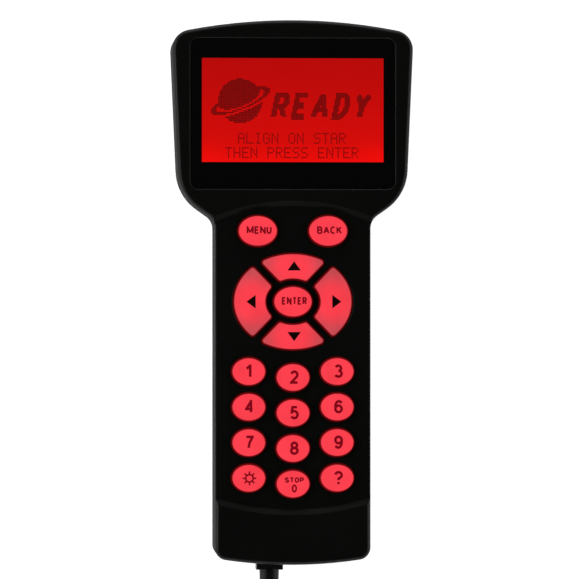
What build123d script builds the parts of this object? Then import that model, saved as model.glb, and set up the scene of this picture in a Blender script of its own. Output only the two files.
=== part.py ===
"""Hand controller for a computerised telescope mount.

A two-shell casing holds a graphic display under a window, a one-piece silicone keypad whose
nineteen keys stand up through the front shell, and one circuit board with two modular
sockets at its foot. A lead with a moulded plug at each end is plugged into one socket, and
its spare length is coiled and tied below the casing.

Frame, in millimetres: +Z is out of the key face, +Y is towards the display end, and the
origin is on the flat back, under the middle of the casing's outline.
"""

import math
import os

from build123d import *

# ---- Casing outline --------------------------------------------------------------------
CASE_LENGTH = 193.5
CASE_THICKNESS = 27.0
HEAD_WIDTH = 86.2  # across the top corners, before they are rounded
SHOULDER_WIDTH = 81.2  # across the shoulders, before they are rounded
HEAD_HEIGHT = 62.0  # from the top edge to the shoulder corners
SHOULDER_ANGLE = 35.3  # of the slope from shoulder to grip, from the horizontal
GRIP_WIDTH = 55.4
TOP_ARC_RADIUS = 197.0
BOTTOM_ARC_RADIUS = 164.0
TOP_CORNER_RADIUS = 7.0
SHOULDER_RADIUS = 17.5
NECK_RADIUS = 5.4
FOOT_CORNER_RADIUS = 4.5

# ---- Shells ----------------------------------------------------------------------------
WALL = 2.2
PARTING_HEIGHT = 15.0  # where the two shells meet
CEILING_DEPTH = 3.4  # from the face down to the inside of the front shell
FACE_EDGE_RADIUS = 2.0
BACK_EDGE_RADIUS = 3.2
SEAM_CHAMFER = 0.3
LIP_HEIGHT = 1.5  # tongue of the back shell inside the front shell
LIP_THICKNESS = 1.0
LIP_CLEARANCE = 0.1

# ---- Sunk key area ---------------------------------------------------------------------
KEY_AREA_DROP = 1.2
KEY_AREA_RAMP = 1.9  # width of the sloping step at each end
KEY_AREA_SIDE_RADIUS = 0.7  # along the grip's two sides
KEY_AREA_TOP = 66.0  # from the top edge to the crown of the upper arc
KEY_AREA_BOTTOM = 173.8  # from the top edge to the crown of the lower arc
KEY_AREA_TOP_RADIUS = 70.0
KEY_AREA_BOTTOM_RADIUS = 94.0

# ---- Display ---------------------------------------------------------------------------
WINDOW_WIDTH = 72.2
WINDOW_HEIGHT = 52.9
WINDOW_DROP = 33.3  # from the top edge to the window's middle
WINDOW_THICKNESS = 1.5
WINDOW_CORNER_RADIUS = 2.6
WINDOW_SINK = 0.15  # window's face below the casing's face
WINDOW_CLEARANCE = 0.15  # round the window in its recess
WINDOW_RIM_CHAMFER = 0.4
MASK_THICKNESS = 0.2
VIEW_WIDTH = 64.6
VIEW_HEIGHT = 36.9
VIEW_DROP = 32.0  # from the top edge to the middle of the viewing area
VIEW_MARGIN = 0.7  # the hole in the shell is this much larger all round
GLASS_MARGIN = 1.5  # the display cell reaches this far past the viewing area
GLASS_THICKNESS = 2.2
GLASS_LEDGE = 1.2  # bonding ledge beyond the front glass, at the top
GLASS_GAP = 0.1  # under the shell, and round the cell in its holder
LIGHT_PANEL_THICKNESS = 2.4
HOLDER_WALL = 1.2
HOLDER_CORNER_RADIUS = 3.0
RIBBON_WIDTH = 22.0
RIBBON_THICKNESS = 0.2
RIBBON_REACH = 2.2  # of the ribbon past the holder
RIBBON_RISE = 0.8  # of the ribbon's end above the board
RIBBON_GRIP = 1.2  # of the ribbon's end inside its connector
CONNECTOR_SIZE = (24.0, 3.0, 1.8)
LIGHT_ROW = 1.4  # room for the row of lamps under the display
PANEL_LAMP_COUNT = 6
PANEL_LAMP_SIZE = (3.0, 1.0, 1.1)

# ---- Keys ------------------------------------------------------------------------------
KEY_TRAVEL = 1.2
KEY_GAP = 0.45  # between a key and the edge of its hole
KEY_RISE = 1.6  # crown of a key above the sunk key area
KEY_EDGE_RADIUS = 0.45
KEY_CROWN_RADIUS = 38.0
HOLE_CHAMFER = 0.3
SIDE_KEY_SIZE = (13.8, 10.8)  # the two keys beside the middle line at the top
SIDE_KEY_DROP = 74.9
SIDE_KEY_SPREAD = 12.5
PAD_DROP = 100.0  # from the top edge to the middle of the round pad
PAD_SIZE = (42.0, 34.0)
PAD_INNER_SIZE = (19.4, 16.2)
PAD_SPLIT = 3.05  # width of the bars between the arrow keys
PAD_SPLIT_ANGLE = 46.0
PAD_CORNER_RADIUS = 1.1
PAD_CROWN_RADIUS = 150.0
ENTER_SIZE = (13.6, 10.8)
NUMBER_KEY_SIZE = (11.9, 9.8)
NUMBER_DROP = 124.8  # from the top edge to the first row of number keys
COLUMN_PITCH = 15.7
ROW_PITCH = 12.6
MIDDLE_COLUMN_DROP = 2.1
NUMBER_ROWS = 4
PILL_RADIUS = 2.0
PILL_THICKNESS = 0.35
STEM_INSET = 1.6

# ---- Keypad mat and board --------------------------------------------------------------
BOARD_THICKNESS = 1.6
BOARD_CLEARANCE = 0.6
MAT_THICKNESS = 1.2
MAT_CLEARANCE = 1.0
MAT_ABOVE_KEYS = 2.6  # of the mat past the outermost keys
CLAMP_RIB = 1.0
WEB_THICKNESS = 0.5
WEB_REACH = 1.3  # of the web round a key
WEB_GAP = 0.1
COLLAR_WALL = 0.4
PAD_THICKNESS = 0.04  # of a gold contact on the board
LIGHT_SIZE = (1.6, 0.8, 0.6)
LIGHT_POCKET = 0.12
PAD_LIGHT_REACH = 2.6  # of the lamps at the pad's corners past its edge
SIDE_LIGHT_SPREAD = 3.0  # of the two lamps between the keys at the top

# Electronics under the board.
LEG_WIDTH = 0.36
LEG_REACH = 1.1  # of a chip's legs past its body
LEG_THICKNESS = 0.35
PROCESSOR_DROP = 38.0  # from the top edge
PROCESSOR_SIZE = (14.0, 14.0, 1.4)
MEMORY_SIZE = (6.0, 5.0, 1.5)
MEMORY_PLACE = (8.0, 4.0)  # from the middle of the pad
CRYSTAL_X = 16.0
CRYSTAL_SIZE = (4.6, 10.8, 3.4)
CAPACITOR_PLACE = (4.5, 27.0)  # from the middle line, and up from the foot
CAPACITOR_RADIUS = 3.1
CAPACITOR_HEIGHT = 5.6
CAN_EDGE_RADIUS = 0.4
BUZZER_RISE = 42.0  # up from the foot
BUZZER_RADIUS = 6.0
BUZZER_HEIGHT = 5.5
BUZZER_HOLE_RADIUS = 1.0
CELL_PLACE = (-22.0, 38.0)  # across, and down from the top edge
CELL_RADIUS = 10.0
CELL_THICKNESS = 3.2
CELL_CLEARANCE = 0.15
CELL_BOARD_GAP = 1.0
CELL_CUP_WALL = 1.2

# Reading lamp and label on the back.
LAMP_DROP = 13.0  # from the top edge
LAMP_LENS_RADIUS = 4.0
LAMP_LENS_FLANGE = 4.8
LAMP_LENS_STEP = 1.2
LAMP_LENS_SINK = 0.25  # of the lens inside the back face
LAMP_LENS_CLEARANCE = 0.05
LAMP_GAP = 0.5  # between the lens and the lamp's nose
LAMP_RADIUS = 2.5
LAMP_LENGTH = 7.6
LAMP_RIM = 0.4
LAMP_LEG_SPREAD = 1.27
LAMP_LEG_WIDTH = 0.5
LABEL_SIZE = (46.0, 26.0)
LABEL_DROP = 49.0
LABEL_RECESS = 0.3
LABEL_THICKNESS = 0.15
LABEL_CORNER_RADIUS = 2.0
LABEL_CLEARANCE = 0.2

# ---- Screws ----------------------------------------------------------------------------
CASE_BOSS_RADIUS = 2.3
CASE_TUBE_RADIUS = 3.2
CASE_SCREW_RADIUS = 1.15
CASE_SCREW_LENGTH = 12.0
CASE_SCREW_HEAD_RADIUS = 2.1
CASE_SCREW_HEAD_HEIGHT = 1.8
COUNTERBORE_RADIUS = 2.4
COUNTERBORE_DEPTH = 9.0
BOARD_BOSS_RADIUS = 1.9
BOARD_SCREW_RADIUS = 0.9
BOARD_SCREW_LENGTH = 5.0
BOARD_SCREW_HEAD_RADIUS = 1.7
BOARD_SCREW_HEAD_HEIGHT = 1.2
SCREW_CLEARANCE = 0.2
THREAD_CLEARANCE = 0.03
HEAD_SCREW_INSET = (5.8, 10.95)  # of the head's two screws, from the top corners
NECK_SCREW_INSET = 6.4  # of the neck screws from the grip's sides
NECK_SCREW_DROP = 86.2
FOOT_SCREW_INSET = (7.2, 9.75)  # from the grip's sides and the foot
HEAD_BOARD_SCREW_INSET = 3.5  # inside the wall
HEAD_BOARD_SCREW_DROP = 34.5
FOOT_BOARD_SCREW = (20.0, 19.0)  # from the middle line, and up from the foot

# ---- Sockets, plugs and lead -----------------------------------------------------------
SOCKET_HEIGHT = 11.6
SOCKET_LENGTH = 16.0
SOCKET_WALL = 1.7
SOCKET_FACE_INSET = 0.6  # of a socket's face from the foot of the casing
SOCKET_DEPTH = 12.4
SOCKET_ROOF = 1.2
SOCKET_GAP = 0.25  # round a socket in its cut-out
LATCH_WIDTH = 6.0
LATCH_THICKNESS = 0.9
LATCH_SLOT = 2.9
LEAD_SOCKET_X = -7.7
SERIAL_SOCKET_X = 9.3
PLUG_HEIGHT = 6.6
PLUG_LENGTH = 12.3
PLUG_SHOW = 2.3  # of the plug past the foot of the casing
PLUG_CLEARANCE = 0.1
PLUG_WIDTH = {6: 9.65, 4: 7.65}
CONTACT_PITCH = 1.02
CONTACT_THICKNESS = 0.35
BLADE_LENGTH = 4.2  # of the slots for the gold blades in a plug's nose
BLADE_DEPTH = 1.3
BLADE_SINK = 0.4  # of the blades in their slots
BOOT_LENGTH = 22.0
BOOT_START_RADIUS = 3.5
BOOT_END_RADIUS = 2.95
BOOT_GROOVES = 5
BOOT_GROOVE_DEPTH = 0.5
LEAD_DIAMETER = 5.0

# Centreline of the lead from the near boot to the coil: steps along -Y from the boot's end,
# shares of the fall from the socket's height to the table, and small steps along X.
LEAD_STEPS = (0.0, 9.0, 24.0, 41.0, 55.0, 67.0)
LEAD_FALLS = (0.0, 0.0, 0.42, 0.92, 1.0, 1.0)
LEAD_SIDES = (0.0, 0.0, 0.4, 0.3, -0.2, -0.3)

COIL_MEAN_RADIUS = 28.0
COIL_SECTION = (17.6, 15.2)  # width and height of the bundle of turns
COIL_CORNER_RADIUS = 5.0
COIL_RUN_IN = 9.0  # of the lead before it meets the bundle
TIE_WIDTH = 11.0
TIE_THICKNESS = 1.1

# Centreline of the lead's far end from the top of the coil down to the far boot, in the
# same three ways, but stepping along +Y.
TAIL_STEPS = (0.0, 11.0, 23.0, 35.0, 46.0)
TAIL_FALLS = (0.0, 0.06, 0.55, 1.0, 1.0)
TAIL_SIDES = (0.0, 0.0, 0.6, 1.6, 3.4)

# ---- Worked-out places -----------------------------------------------------------------
TOP_Y = CASE_LENGTH / 2
FOOT_Y = -CASE_LENGTH / 2
FACE_Z = CASE_THICKNESS
CEILING_Z = FACE_Z - CEILING_DEPTH
KEY_AREA_Z = FACE_Z - KEY_AREA_DROP
KEY_TOP_Z = KEY_AREA_Z + KEY_RISE
GLASS_TOP = CEILING_Z - GLASS_GAP
GLASS_BOTTOM = GLASS_TOP - GLASS_THICKNESS
PANEL_TOP = GLASS_BOTTOM - GLASS_GAP
PANEL_BOTTOM = PANEL_TOP - LIGHT_PANEL_THICKNESS
BOARD_TOP = PANEL_BOTTOM - GLASS_GAP
BOARD_BOTTOM = BOARD_TOP - BOARD_THICKNESS
MAT_TOP = BOARD_TOP + MAT_THICKNESS
WEB_TOP = CEILING_Z - KEY_TRAVEL
PILL_BOTTOM = BOARD_TOP + PAD_THICKNESS + KEY_TRAVEL + 0.01
STEM_BOTTOM = PILL_BOTTOM + PILL_THICKNESS
CAP_BOTTOM = WEB_TOP - WEB_THICKNESS
WINDOW_Y = TOP_Y - WINDOW_DROP
VIEW_Y = TOP_Y - VIEW_DROP
PAD_Y = TOP_Y - PAD_DROP
SOCKET_FACE_Y = FOOT_Y + SOCKET_FACE_INSET
PLUG_END_Y = FOOT_Y - PLUG_SHOW
SOCKET_TOP = BOARD_BOTTOM
SOCKET_BOTTOM = SOCKET_TOP - SOCKET_HEIGHT
PLUG_Z = SOCKET_TOP - SOCKET_ROOF - PLUG_CLEARANCE - PLUG_HEIGHT / 2
LEAD_RADIUS = LEAD_DIAMETER / 2
BOOT_END_Y = PLUG_END_Y - BOOT_LENGTH
COIL_X = LEAD_SOCKET_X + COIL_MEAN_RADIUS + LEAD_DIAMETER
COIL_Y = BOOT_END_Y - LEAD_STEPS[-1] - COIL_RUN_IN
FAR_Z = BOOT_START_RADIUS
TAIL_TOP = COIL_SECTION[1] - LEAD_RADIUS
LAMP_Y = TOP_Y - LAMP_DROP
NEAR_END = Pos(LEAD_SOCKET_X, PLUG_END_Y, PLUG_Z)


# ---- Small helpers ---------------------------------------------------------------------
def slab(sketch, low, high):
    """A flat shape given height from one level up to another."""
    return extrude(Pos(0, 0, low) * sketch, amount=high - low)


def block(x, y, z):
    """A box between two values on each axis."""
    size = (x[1] - x[0], y[1] - y[0], z[1] - z[0])
    centre = ((x[0] + x[1]) / 2, (y[0] + y[1]) / 2, (z[0] + z[1]) / 2)
    return Pos(*centre) * Box(*size)


def rod(x, y, radius, low, high):
    """An upright cylinder."""
    return slab(Pos(x, y) * Circle(radius), low, high)


def both_sides(x, y):
    """A place on the right and its mirror image on the left."""
    return [(x, y), (-x, y)]


def rounded(sketch, x, y, radius):
    """The sketch with its two mirrored corners nearest to (+-x, y) rounded."""
    near = [v for v in sketch.vertices() if math.hypot(abs(v.X) - x, v.Y - y) < 0.05]
    return fillet(near, radius)


def ellipse(size, grow=0.0):
    """An ellipse of a full width and height, grown all round."""
    return Ellipse(size[0] / 2 + grow, size[1] / 2 + grow)


def fused(solids):
    """Several solids as one."""
    first, *others = solids
    return first.fuse(*others) if others else first


# ---- Outline ---------------------------------------------------------------------------
def case_outline():
    """The casing seen from the front."""
    slope = math.tan(math.radians(SHOULDER_ANGLE))
    half_head, half_shoulder = HEAD_WIDTH / 2, SHOULDER_WIDTH / 2
    half_grip = GRIP_WIDTH / 2
    corner_y = TOP_Y - TOP_ARC_RADIUS + math.sqrt(TOP_ARC_RADIUS**2 - half_head**2)
    shoulder_y = TOP_Y - HEAD_HEIGHT
    neck_y = shoulder_y - (half_shoulder - half_grip) * slope
    foot_y = FOOT_Y + BOTTOM_ARC_RADIUS - math.sqrt(BOTTOM_ARC_RADIUS**2 - half_grip**2)
    right = [
        (half_head, corner_y),
        (half_shoulder, shoulder_y),
        (half_grip, neck_y),
        (half_grip, foot_y),
    ]
    left = [(-x, y) for x, y in right]
    edges = [
        ThreePointArc(left[0], (0, TOP_Y), right[0]),
        *[Line(a, b) for a, b in zip(right, right[1:])],
        ThreePointArc(right[-1], (0, FOOT_Y), left[-1]),
        *[Line(a, b) for a, b in zip(left, left[1:])],
    ]
    outline = make_face(edges)
    radii = (TOP_CORNER_RADIUS, SHOULDER_RADIUS, NECK_RADIUS, FOOT_CORNER_RADIUS)
    for (x, y), radius in zip(right, radii):
        outline = rounded(outline, x, y, radius)
    return outline


OUTLINE = case_outline()


def inside(depth):
    """The outline drawn in by a depth all round."""
    return offset(OUTLINE, amount=-depth)


# ---- Key outlines ----------------------------------------------------------------------
def arrow_outline(name, grow):
    """One of the four keys of the round pad, between its two slanting splits."""
    angle = math.radians(PAD_SPLIT_ANGLE)
    gap = PAD_SPLIT / 2 - grow
    reach = PAD_SIZE[0]
    if name in ("up", "down"):
        tip, side = gap / math.cos(angle), reach / math.tan(angle)
        corners = [(0, tip), (side, tip + reach), (-side, tip + reach)]
    else:
        tip, side = gap / math.sin(angle), reach * math.tan(angle)
        corners = [(-tip, 0), (-tip - reach, side), (-tip - reach, -side)]
    ring = ellipse(PAD_SIZE, grow) - ellipse(PAD_INNER_SIZE, -grow)
    piece = ring & make_face(Polyline(corners, close=True))
    piece = fillet(piece.vertices(), max(PAD_CORNER_RADIUS + grow, 0.4))
    if name == "down":
        piece = mirror(piece, Plane.XZ)
    if name == "right":
        piece = mirror(piece, Plane.YZ)
    return Pos(0, PAD_Y) * piece


def oval_outline(x, y, size):
    """The outline of an oval key, as a function of how far it is grown."""
    return lambda grow=0.0: Pos(x, y) * ellipse(size, grow)


def key_table():
    """Every key: its name, its place, its outline by growth, and its crown's radius."""
    side_y = TOP_Y - SIDE_KEY_DROP
    table = {
        "key_menu": (-SIDE_KEY_SPREAD, side_y, SIDE_KEY_SIZE, KEY_CROWN_RADIUS),
        "key_back": (SIDE_KEY_SPREAD, side_y, SIDE_KEY_SIZE, KEY_CROWN_RADIUS),
        "key_enter": (0.0, PAD_Y, ENTER_SIZE, KEY_CROWN_RADIUS),
    }
    names = ("1", "2", "3", "4", "5", "6", "7", "8", "9", "light", "0", "help")
    for i, name in enumerate(names):
        column, row = i % 3 - 1, i // 3
        y = TOP_Y - NUMBER_DROP - row * ROW_PITCH - (column == 0) * MIDDLE_COLUMN_DROP
        table["key_" + name] = (column * COLUMN_PITCH, y, NUMBER_KEY_SIZE, KEY_CROWN_RADIUS)
    keys = {
        name: (x, y, oval_outline(x, y, size), crown)
        for name, (x, y, size, crown) in table.items()
    }
    for name in ("up", "right", "down", "left"):
        keys["key_" + name] = (
            0.0,
            PAD_Y,
            lambda grow=0.0, name=name: arrow_outline(name, grow),
            PAD_CROWN_RADIUS,
        )
    return keys


KEYS = key_table()


def pill_place(name):
    """Where a key presses on the board."""
    x, y, _, _ = KEYS[name]
    across = (PAD_SIZE[0] + PAD_INNER_SIZE[0]) / 4
    along = (PAD_SIZE[1] + PAD_INNER_SIZE[1]) / 4
    shift = {
        "key_up": (0, along),
        "key_down": (0, -along),
        "key_right": (across, 0),
        "key_left": (-across, 0),
    }.get(name, (0, 0))
    return x + shift[0], y + shift[1]


def key(name):
    """A keytop with its stem, and the carbon pill under it."""
    x, y, outline, crown = KEYS[name]
    cap = slab(outline(), CAP_BOTTOM, KEY_TOP_Z + 1)
    cap = cap & Pos(x, y, KEY_TOP_Z - crown) * Sphere(crown)
    rim = cap.faces().sort_by(Axis.Z)[-1].edges()
    cap = fillet(rim, KEY_EDGE_RADIUS)
    px, py = pill_place(name)
    stem = slab(outline(-STEM_INSET), STEM_BOTTOM, CAP_BOTTOM)
    pill = rod(px, py, PILL_RADIUS, PILL_BOTTOM, STEM_BOTTOM)
    return Compound(children=[cap + stem, pill])


# ---- Screw places ----------------------------------------------------------------------
def case_screw_places():
    """Six screws that draw the shells together."""
    return [
        *both_sides(HEAD_WIDTH / 2 - HEAD_SCREW_INSET[0], TOP_Y - HEAD_SCREW_INSET[1]),
        *both_sides(GRIP_WIDTH / 2 - NECK_SCREW_INSET, TOP_Y - NECK_SCREW_DROP),
        *both_sides(GRIP_WIDTH / 2 - FOOT_SCREW_INSET[0], FOOT_Y + FOOT_SCREW_INSET[1]),
    ]


def board_screw_places():
    """Four screws that hold the board to the front shell."""
    side = HEAD_WIDTH / 2 - WALL - HEAD_BOARD_SCREW_INSET
    return [
        *both_sides(side, TOP_Y - HEAD_BOARD_SCREW_DROP),
        *both_sides(FOOT_BOARD_SCREW[0], FOOT_Y + FOOT_BOARD_SCREW[1]),
    ]


# ---- Casing ----------------------------------------------------------------------------
def key_area_cut():
    """What is taken off the face to sink the key area, with a sloping step at each end."""
    height = KEY_AREA_DROP
    low = (0, TOP_Y - KEY_AREA_BOTTOM + KEY_AREA_BOTTOM_RADIUS, KEY_AREA_BOTTOM_RADIUS)
    high = (0, TOP_Y - KEY_AREA_TOP - KEY_AREA_TOP_RADIUS, KEY_AREA_TOP_RADIUS)
    cones = []
    for x, y, radius in (low, high):
        cones.append(
            Pos(x, y, KEY_AREA_Z + height)
            * Cone(radius, radius + 2 * KEY_AREA_RAMP, 2 * height)
        )
    return cones[0] & cones[1]


def key_area_sides(body):
    """The edges where the sunk key area meets the sides of the casing."""
    level = [e for e in body.edges() if abs(e.center().Z - KEY_AREA_Z) < 0.02]
    return [e for e in level if abs(e.center().X) > GRIP_WIDTH / 3]


def window_outline(grow=0.0):
    """The window and its recess."""
    radius = WINDOW_CORNER_RADIUS + grow
    shape = RectangleRounded(WINDOW_WIDTH + 2 * grow, WINDOW_HEIGHT + 2 * grow, radius)
    return Pos(0, WINDOW_Y) * shape


def view_outline(grow=0.0):
    """The part of the display that shows."""
    return Pos(0, VIEW_Y) * Rectangle(VIEW_WIDTH + 2 * grow, VIEW_HEIGHT + 2 * grow)


def socket_cut(x, contacts):
    """The hole through the foot wall for one socket."""
    half = PLUG_WIDTH[contacts] / 2 + PLUG_CLEARANCE + SOCKET_WALL + SOCKET_GAP
    return block(
        (x - half, x + half),
        (FOOT_Y - 1, FOOT_Y + WALL + BOTTOM_ARC_RADIUS / 20),
        (SOCKET_BOTTOM - SOCKET_GAP, SOCKET_TOP + SOCKET_GAP),
    )


def both_socket_cuts():
    """The holes for the lead's socket and the serial socket."""
    return socket_cut(LEAD_SOCKET_X, 6) + socket_cut(SERIAL_SOCKET_X, 4)


def mat_outline(grow=0.0):
    """The keypad mat, notched round the neck screws."""
    top = TOP_Y - SIDE_KEY_DROP + SIDE_KEY_SIZE[1] / 2 + MAT_ABOVE_KEYS
    last = TOP_Y - NUMBER_DROP - (NUMBER_ROWS - 1) * ROW_PITCH - MIDDLE_COLUMN_DROP
    bottom = last - NUMBER_KEY_SIZE[1] / 2 - MAT_ABOVE_KEYS
    width = GRIP_WIDTH - 2 * (WALL + MAT_CLEARANCE)
    shape = Pos(0, (top + bottom) / 2) * Rectangle(width + 2 * grow, top - bottom + 2 * grow)
    for x, y in case_screw_places()[2:4]:
        shape -= Pos(x, y) * Circle(CASE_BOSS_RADIUS + SCREW_CLEARANCE - grow)
    return shape


def front_shell():
    """The face of the casing, with its walls, key holes, window recess and bosses."""
    body = slab(OUTLINE, PARTING_HEIGHT, FACE_Z)
    body = fillet(body.faces().sort_by(Axis.Z)[-1].edges(), FACE_EDGE_RADIUS)
    body = chamfer(body.faces().sort_by(Axis.Z)[0].edges(), SEAM_CHAMFER)
    body -= key_area_cut()
    body = fillet(key_area_sides(body), KEY_AREA_SIDE_RADIUS)
    body -= slab(inside(WALL), PARTING_HEIGHT, CEILING_Z)
    rebate = WALL - LIP_THICKNESS - LIP_CLEARANCE
    body -= slab(inside(rebate), PARTING_HEIGHT, PARTING_HEIGHT + LIP_HEIGHT + LIP_CLEARANCE)

    recess_floor = FACE_Z - WINDOW_SINK - WINDOW_THICKNESS - MASK_THICKNESS
    body -= slab(window_outline(WINDOW_CLEARANCE), recess_floor, FACE_Z + 1)
    body -= rim_bevel(window_outline(WINDOW_CLEARANCE), FACE_Z, WINDOW_RIM_CHAMFER)
    body -= slab(view_outline(VIEW_MARGIN), CEILING_Z - 1, FACE_Z)

    for name in KEYS:
        outline = KEYS[name][2]
        body -= slab(outline(KEY_GAP), CEILING_Z - 1, FACE_Z + 1)
        body -= rim_bevel(outline(KEY_GAP), KEY_AREA_Z, HOLE_CHAMFER)

    rib = mat_outline() - mat_outline(-CLAMP_RIB)
    body += slab(rib, MAT_TOP, CEILING_Z)
    for x, y in case_screw_places():
        body += rod(x, y, CASE_BOSS_RADIUS, PARTING_HEIGHT, CEILING_Z)
    for x, y in board_screw_places():
        body += rod(x, y, BOARD_BOSS_RADIUS, BOARD_TOP, CEILING_Z)
    for x, y in case_screw_places():
        tip = COUNTERBORE_DEPTH + CASE_SCREW_LENGTH + 1
        body -= rod(x, y, CASE_SCREW_RADIUS + THREAD_CLEARANCE, PARTING_HEIGHT - 1, tip)
    for x, y in board_screw_places():
        tip = BOARD_BOTTOM + BOARD_SCREW_LENGTH + 0.5
        body -= rod(x, y, BOARD_SCREW_RADIUS + THREAD_CLEARANCE, BOARD_TOP - 1, tip)
    return body - both_socket_cuts()


def rim_bevel(outline, level, size):
    """A 45 degree bevel to be cut round the top of a hole."""
    return extrude(Pos(0, 0, level - size) * outline, amount=2 * size, taper=-45)


def back_shell():
    """The back of the casing, with its tongue, screw tubes, lamp hole and label recess."""
    body = slab(OUTLINE, 0, PARTING_HEIGHT)
    body = fillet(body.faces().sort_by(Axis.Z)[0].edges(), BACK_EDGE_RADIUS)
    body = chamfer(body.faces().sort_by(Axis.Z)[-1].edges(), SEAM_CHAMFER)
    body -= slab(inside(WALL), WALL, PARTING_HEIGHT)
    tongue = inside(WALL - LIP_THICKNESS) - inside(WALL)
    body += slab(tongue, PARTING_HEIGHT - LIP_HEIGHT, PARTING_HEIGHT + LIP_HEIGHT)
    for x, y in case_screw_places():
        body += rod(x, y, CASE_TUBE_RADIUS, WALL / 2, PARTING_HEIGHT) & slab(
            inside(WALL / 2), 0, PARTING_HEIGHT
        )
    for x, y in case_screw_places():
        body -= rod(x, y, CASE_BOSS_RADIUS + SCREW_CLEARANCE, PARTING_HEIGHT, CASE_THICKNESS)
        body -= rod(x, y, COUNTERBORE_RADIUS, -1, COUNTERBORE_DEPTH)
        body -= rod(x, y, CASE_SCREW_RADIUS + SCREW_CLEARANCE, 0, PARTING_HEIGHT + 1)
    body -= rod(0, LAMP_Y, LAMP_LENS_RADIUS + LAMP_LENS_CLEARANCE, -1, WALL + 1)
    body -= rod(0, LAMP_Y, LAMP_LENS_FLANGE + LAMP_LENS_CLEARANCE, LAMP_LENS_STEP, WALL + 1)
    body -= slab(label_outline(LABEL_CLEARANCE), -1, LABEL_RECESS)
    return body - both_socket_cuts()


# ---- Reading lamp and label on the back ------------------------------------------------
def label_outline(grow=0.0):
    """The blank rating plate on the back."""
    size = [side + 2 * grow for side in LABEL_SIZE]
    return Pos(0, TOP_Y - LABEL_DROP) * RectangleRounded(*size, LABEL_CORNER_RADIUS + grow)


def rating_label():
    """A blank plate stuck in a shallow recess."""
    return slab(label_outline(), LABEL_RECESS - LABEL_THICKNESS, LABEL_RECESS)


def reading_lamp_lens():
    """A clear stepped disc that lets the reading lamp shine out of the back."""
    disc = rod(0, LAMP_Y, LAMP_LENS_RADIUS, LAMP_LENS_SINK, LAMP_LENS_STEP)
    return disc + rod(0, LAMP_Y, LAMP_LENS_FLANGE, LAMP_LENS_STEP, WALL)


def reading_lamp():
    """A round-nosed light-emitting diode on two legs, shining down."""
    nose = WALL + LAMP_LENS_CLEARANCE + LAMP_GAP
    bulb = rod(0, LAMP_Y, LAMP_RADIUS, nose + LAMP_RADIUS, nose + LAMP_LENGTH)
    bulb += Pos(0, LAMP_Y, nose + LAMP_RADIUS) * Sphere(LAMP_RADIUS)
    bulb += rod(0, LAMP_Y, LAMP_RADIUS + LAMP_RIM, nose + LAMP_LENGTH - 1, nose + LAMP_LENGTH)
    half = LAMP_LEG_WIDTH / 2
    for side in (-1, 1):
        x = side * LAMP_LEG_SPREAD
        leg = (x - half, x + half), (LAMP_Y - half, LAMP_Y + half)
        bulb += block(*leg, (nose + LAMP_LENGTH - 0.5, BOARD_BOTTOM))
    return bulb


# ---- Display parts ---------------------------------------------------------------------
def display_window():
    """The clear cover in the face."""
    top = FACE_Z - WINDOW_SINK
    return slab(window_outline(), top - WINDOW_THICKNESS, top)


def window_mask():
    """The black adhesive frame that holds the window and borders the view."""
    top = FACE_Z - WINDOW_SINK - WINDOW_THICKNESS
    return slab(window_outline() - view_outline(), top - MASK_THICKNESS, top)


def glass_size(grow=0.0):
    """Width and height of the display cell."""
    margin = 2 * (GLASS_MARGIN + grow)
    return VIEW_WIDTH + margin, VIEW_HEIGHT + margin


def display_cell():
    """Two bonded glass plates, the rear one with a ledge for the ribbon."""
    width, height = glass_size()
    middle = (GLASS_TOP + GLASS_BOTTOM) / 2
    front = slab(Pos(0, VIEW_Y) * Rectangle(width, height), middle, GLASS_TOP)
    rear_shape = Pos(0, VIEW_Y + GLASS_LEDGE / 2) * Rectangle(width, height + GLASS_LEDGE)
    return front + slab(rear_shape, GLASS_BOTTOM, middle)


def holder_outline(grow):
    """The display holder's inside, grown by a wall."""
    width, height = glass_size(GLASS_GAP)
    top = VIEW_Y + height / 2 + GLASS_LEDGE
    bottom = VIEW_Y - height / 2 - LIGHT_ROW
    size = (width + 2 * grow, top - bottom + 2 * grow)
    return Pos(0, (top + bottom) / 2), size


def display_holder():
    """The frame that holds the cell and the light panel on the board."""
    place, inner = holder_outline(0)
    _, outer = holder_outline(HOLDER_WALL)
    shape = place * RectangleRounded(*outer, HOLDER_CORNER_RADIUS) - place * Rectangle(*inner)
    frame = slab(shape, BOARD_TOP, GLASS_TOP)
    middle = (GLASS_TOP + GLASS_BOTTOM) / 2
    half = RIBBON_WIDTH / 2 + 0.3
    slot = (middle - 0.1, middle + RIBBON_THICKNESS + 0.1)
    return frame - block((-half, half), (VIEW_Y, TOP_Y), slot)


def light_panel():
    """The light guide behind the display."""
    width, height = glass_size()
    shape = Pos(0, VIEW_Y) * Rectangle(width, height)
    return slab(shape, PANEL_BOTTOM, PANEL_TOP)


def panel_lamps():
    """A row of side-shining lamps along the lower edge of the light panel."""
    width, height = glass_size()
    long, deep, tall = PANEL_LAMP_SIZE
    edge = VIEW_Y - height / 2 - GLASS_GAP
    lamps = []
    for i in range(PANEL_LAMP_COUNT):
        x = (i - (PANEL_LAMP_COUNT - 1) / 2) * width / PANEL_LAMP_COUNT
        wide = (x - long / 2, x + long / 2)
        lamps.append(block(wide, (edge - deep, edge), (BOARD_TOP, BOARD_TOP + tall)))
    return Compound(children=lamps)


def ribbon_levels():
    """The levels and turning place of the ribbon."""
    top = (GLASS_TOP + GLASS_BOTTOM) / 2
    place, outer = holder_outline(HOLDER_WALL)
    turn = place.position.Y + outer[1] / 2 + RIBBON_REACH
    low = BOARD_TOP + RIBBON_RISE
    return top, turn, low


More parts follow.
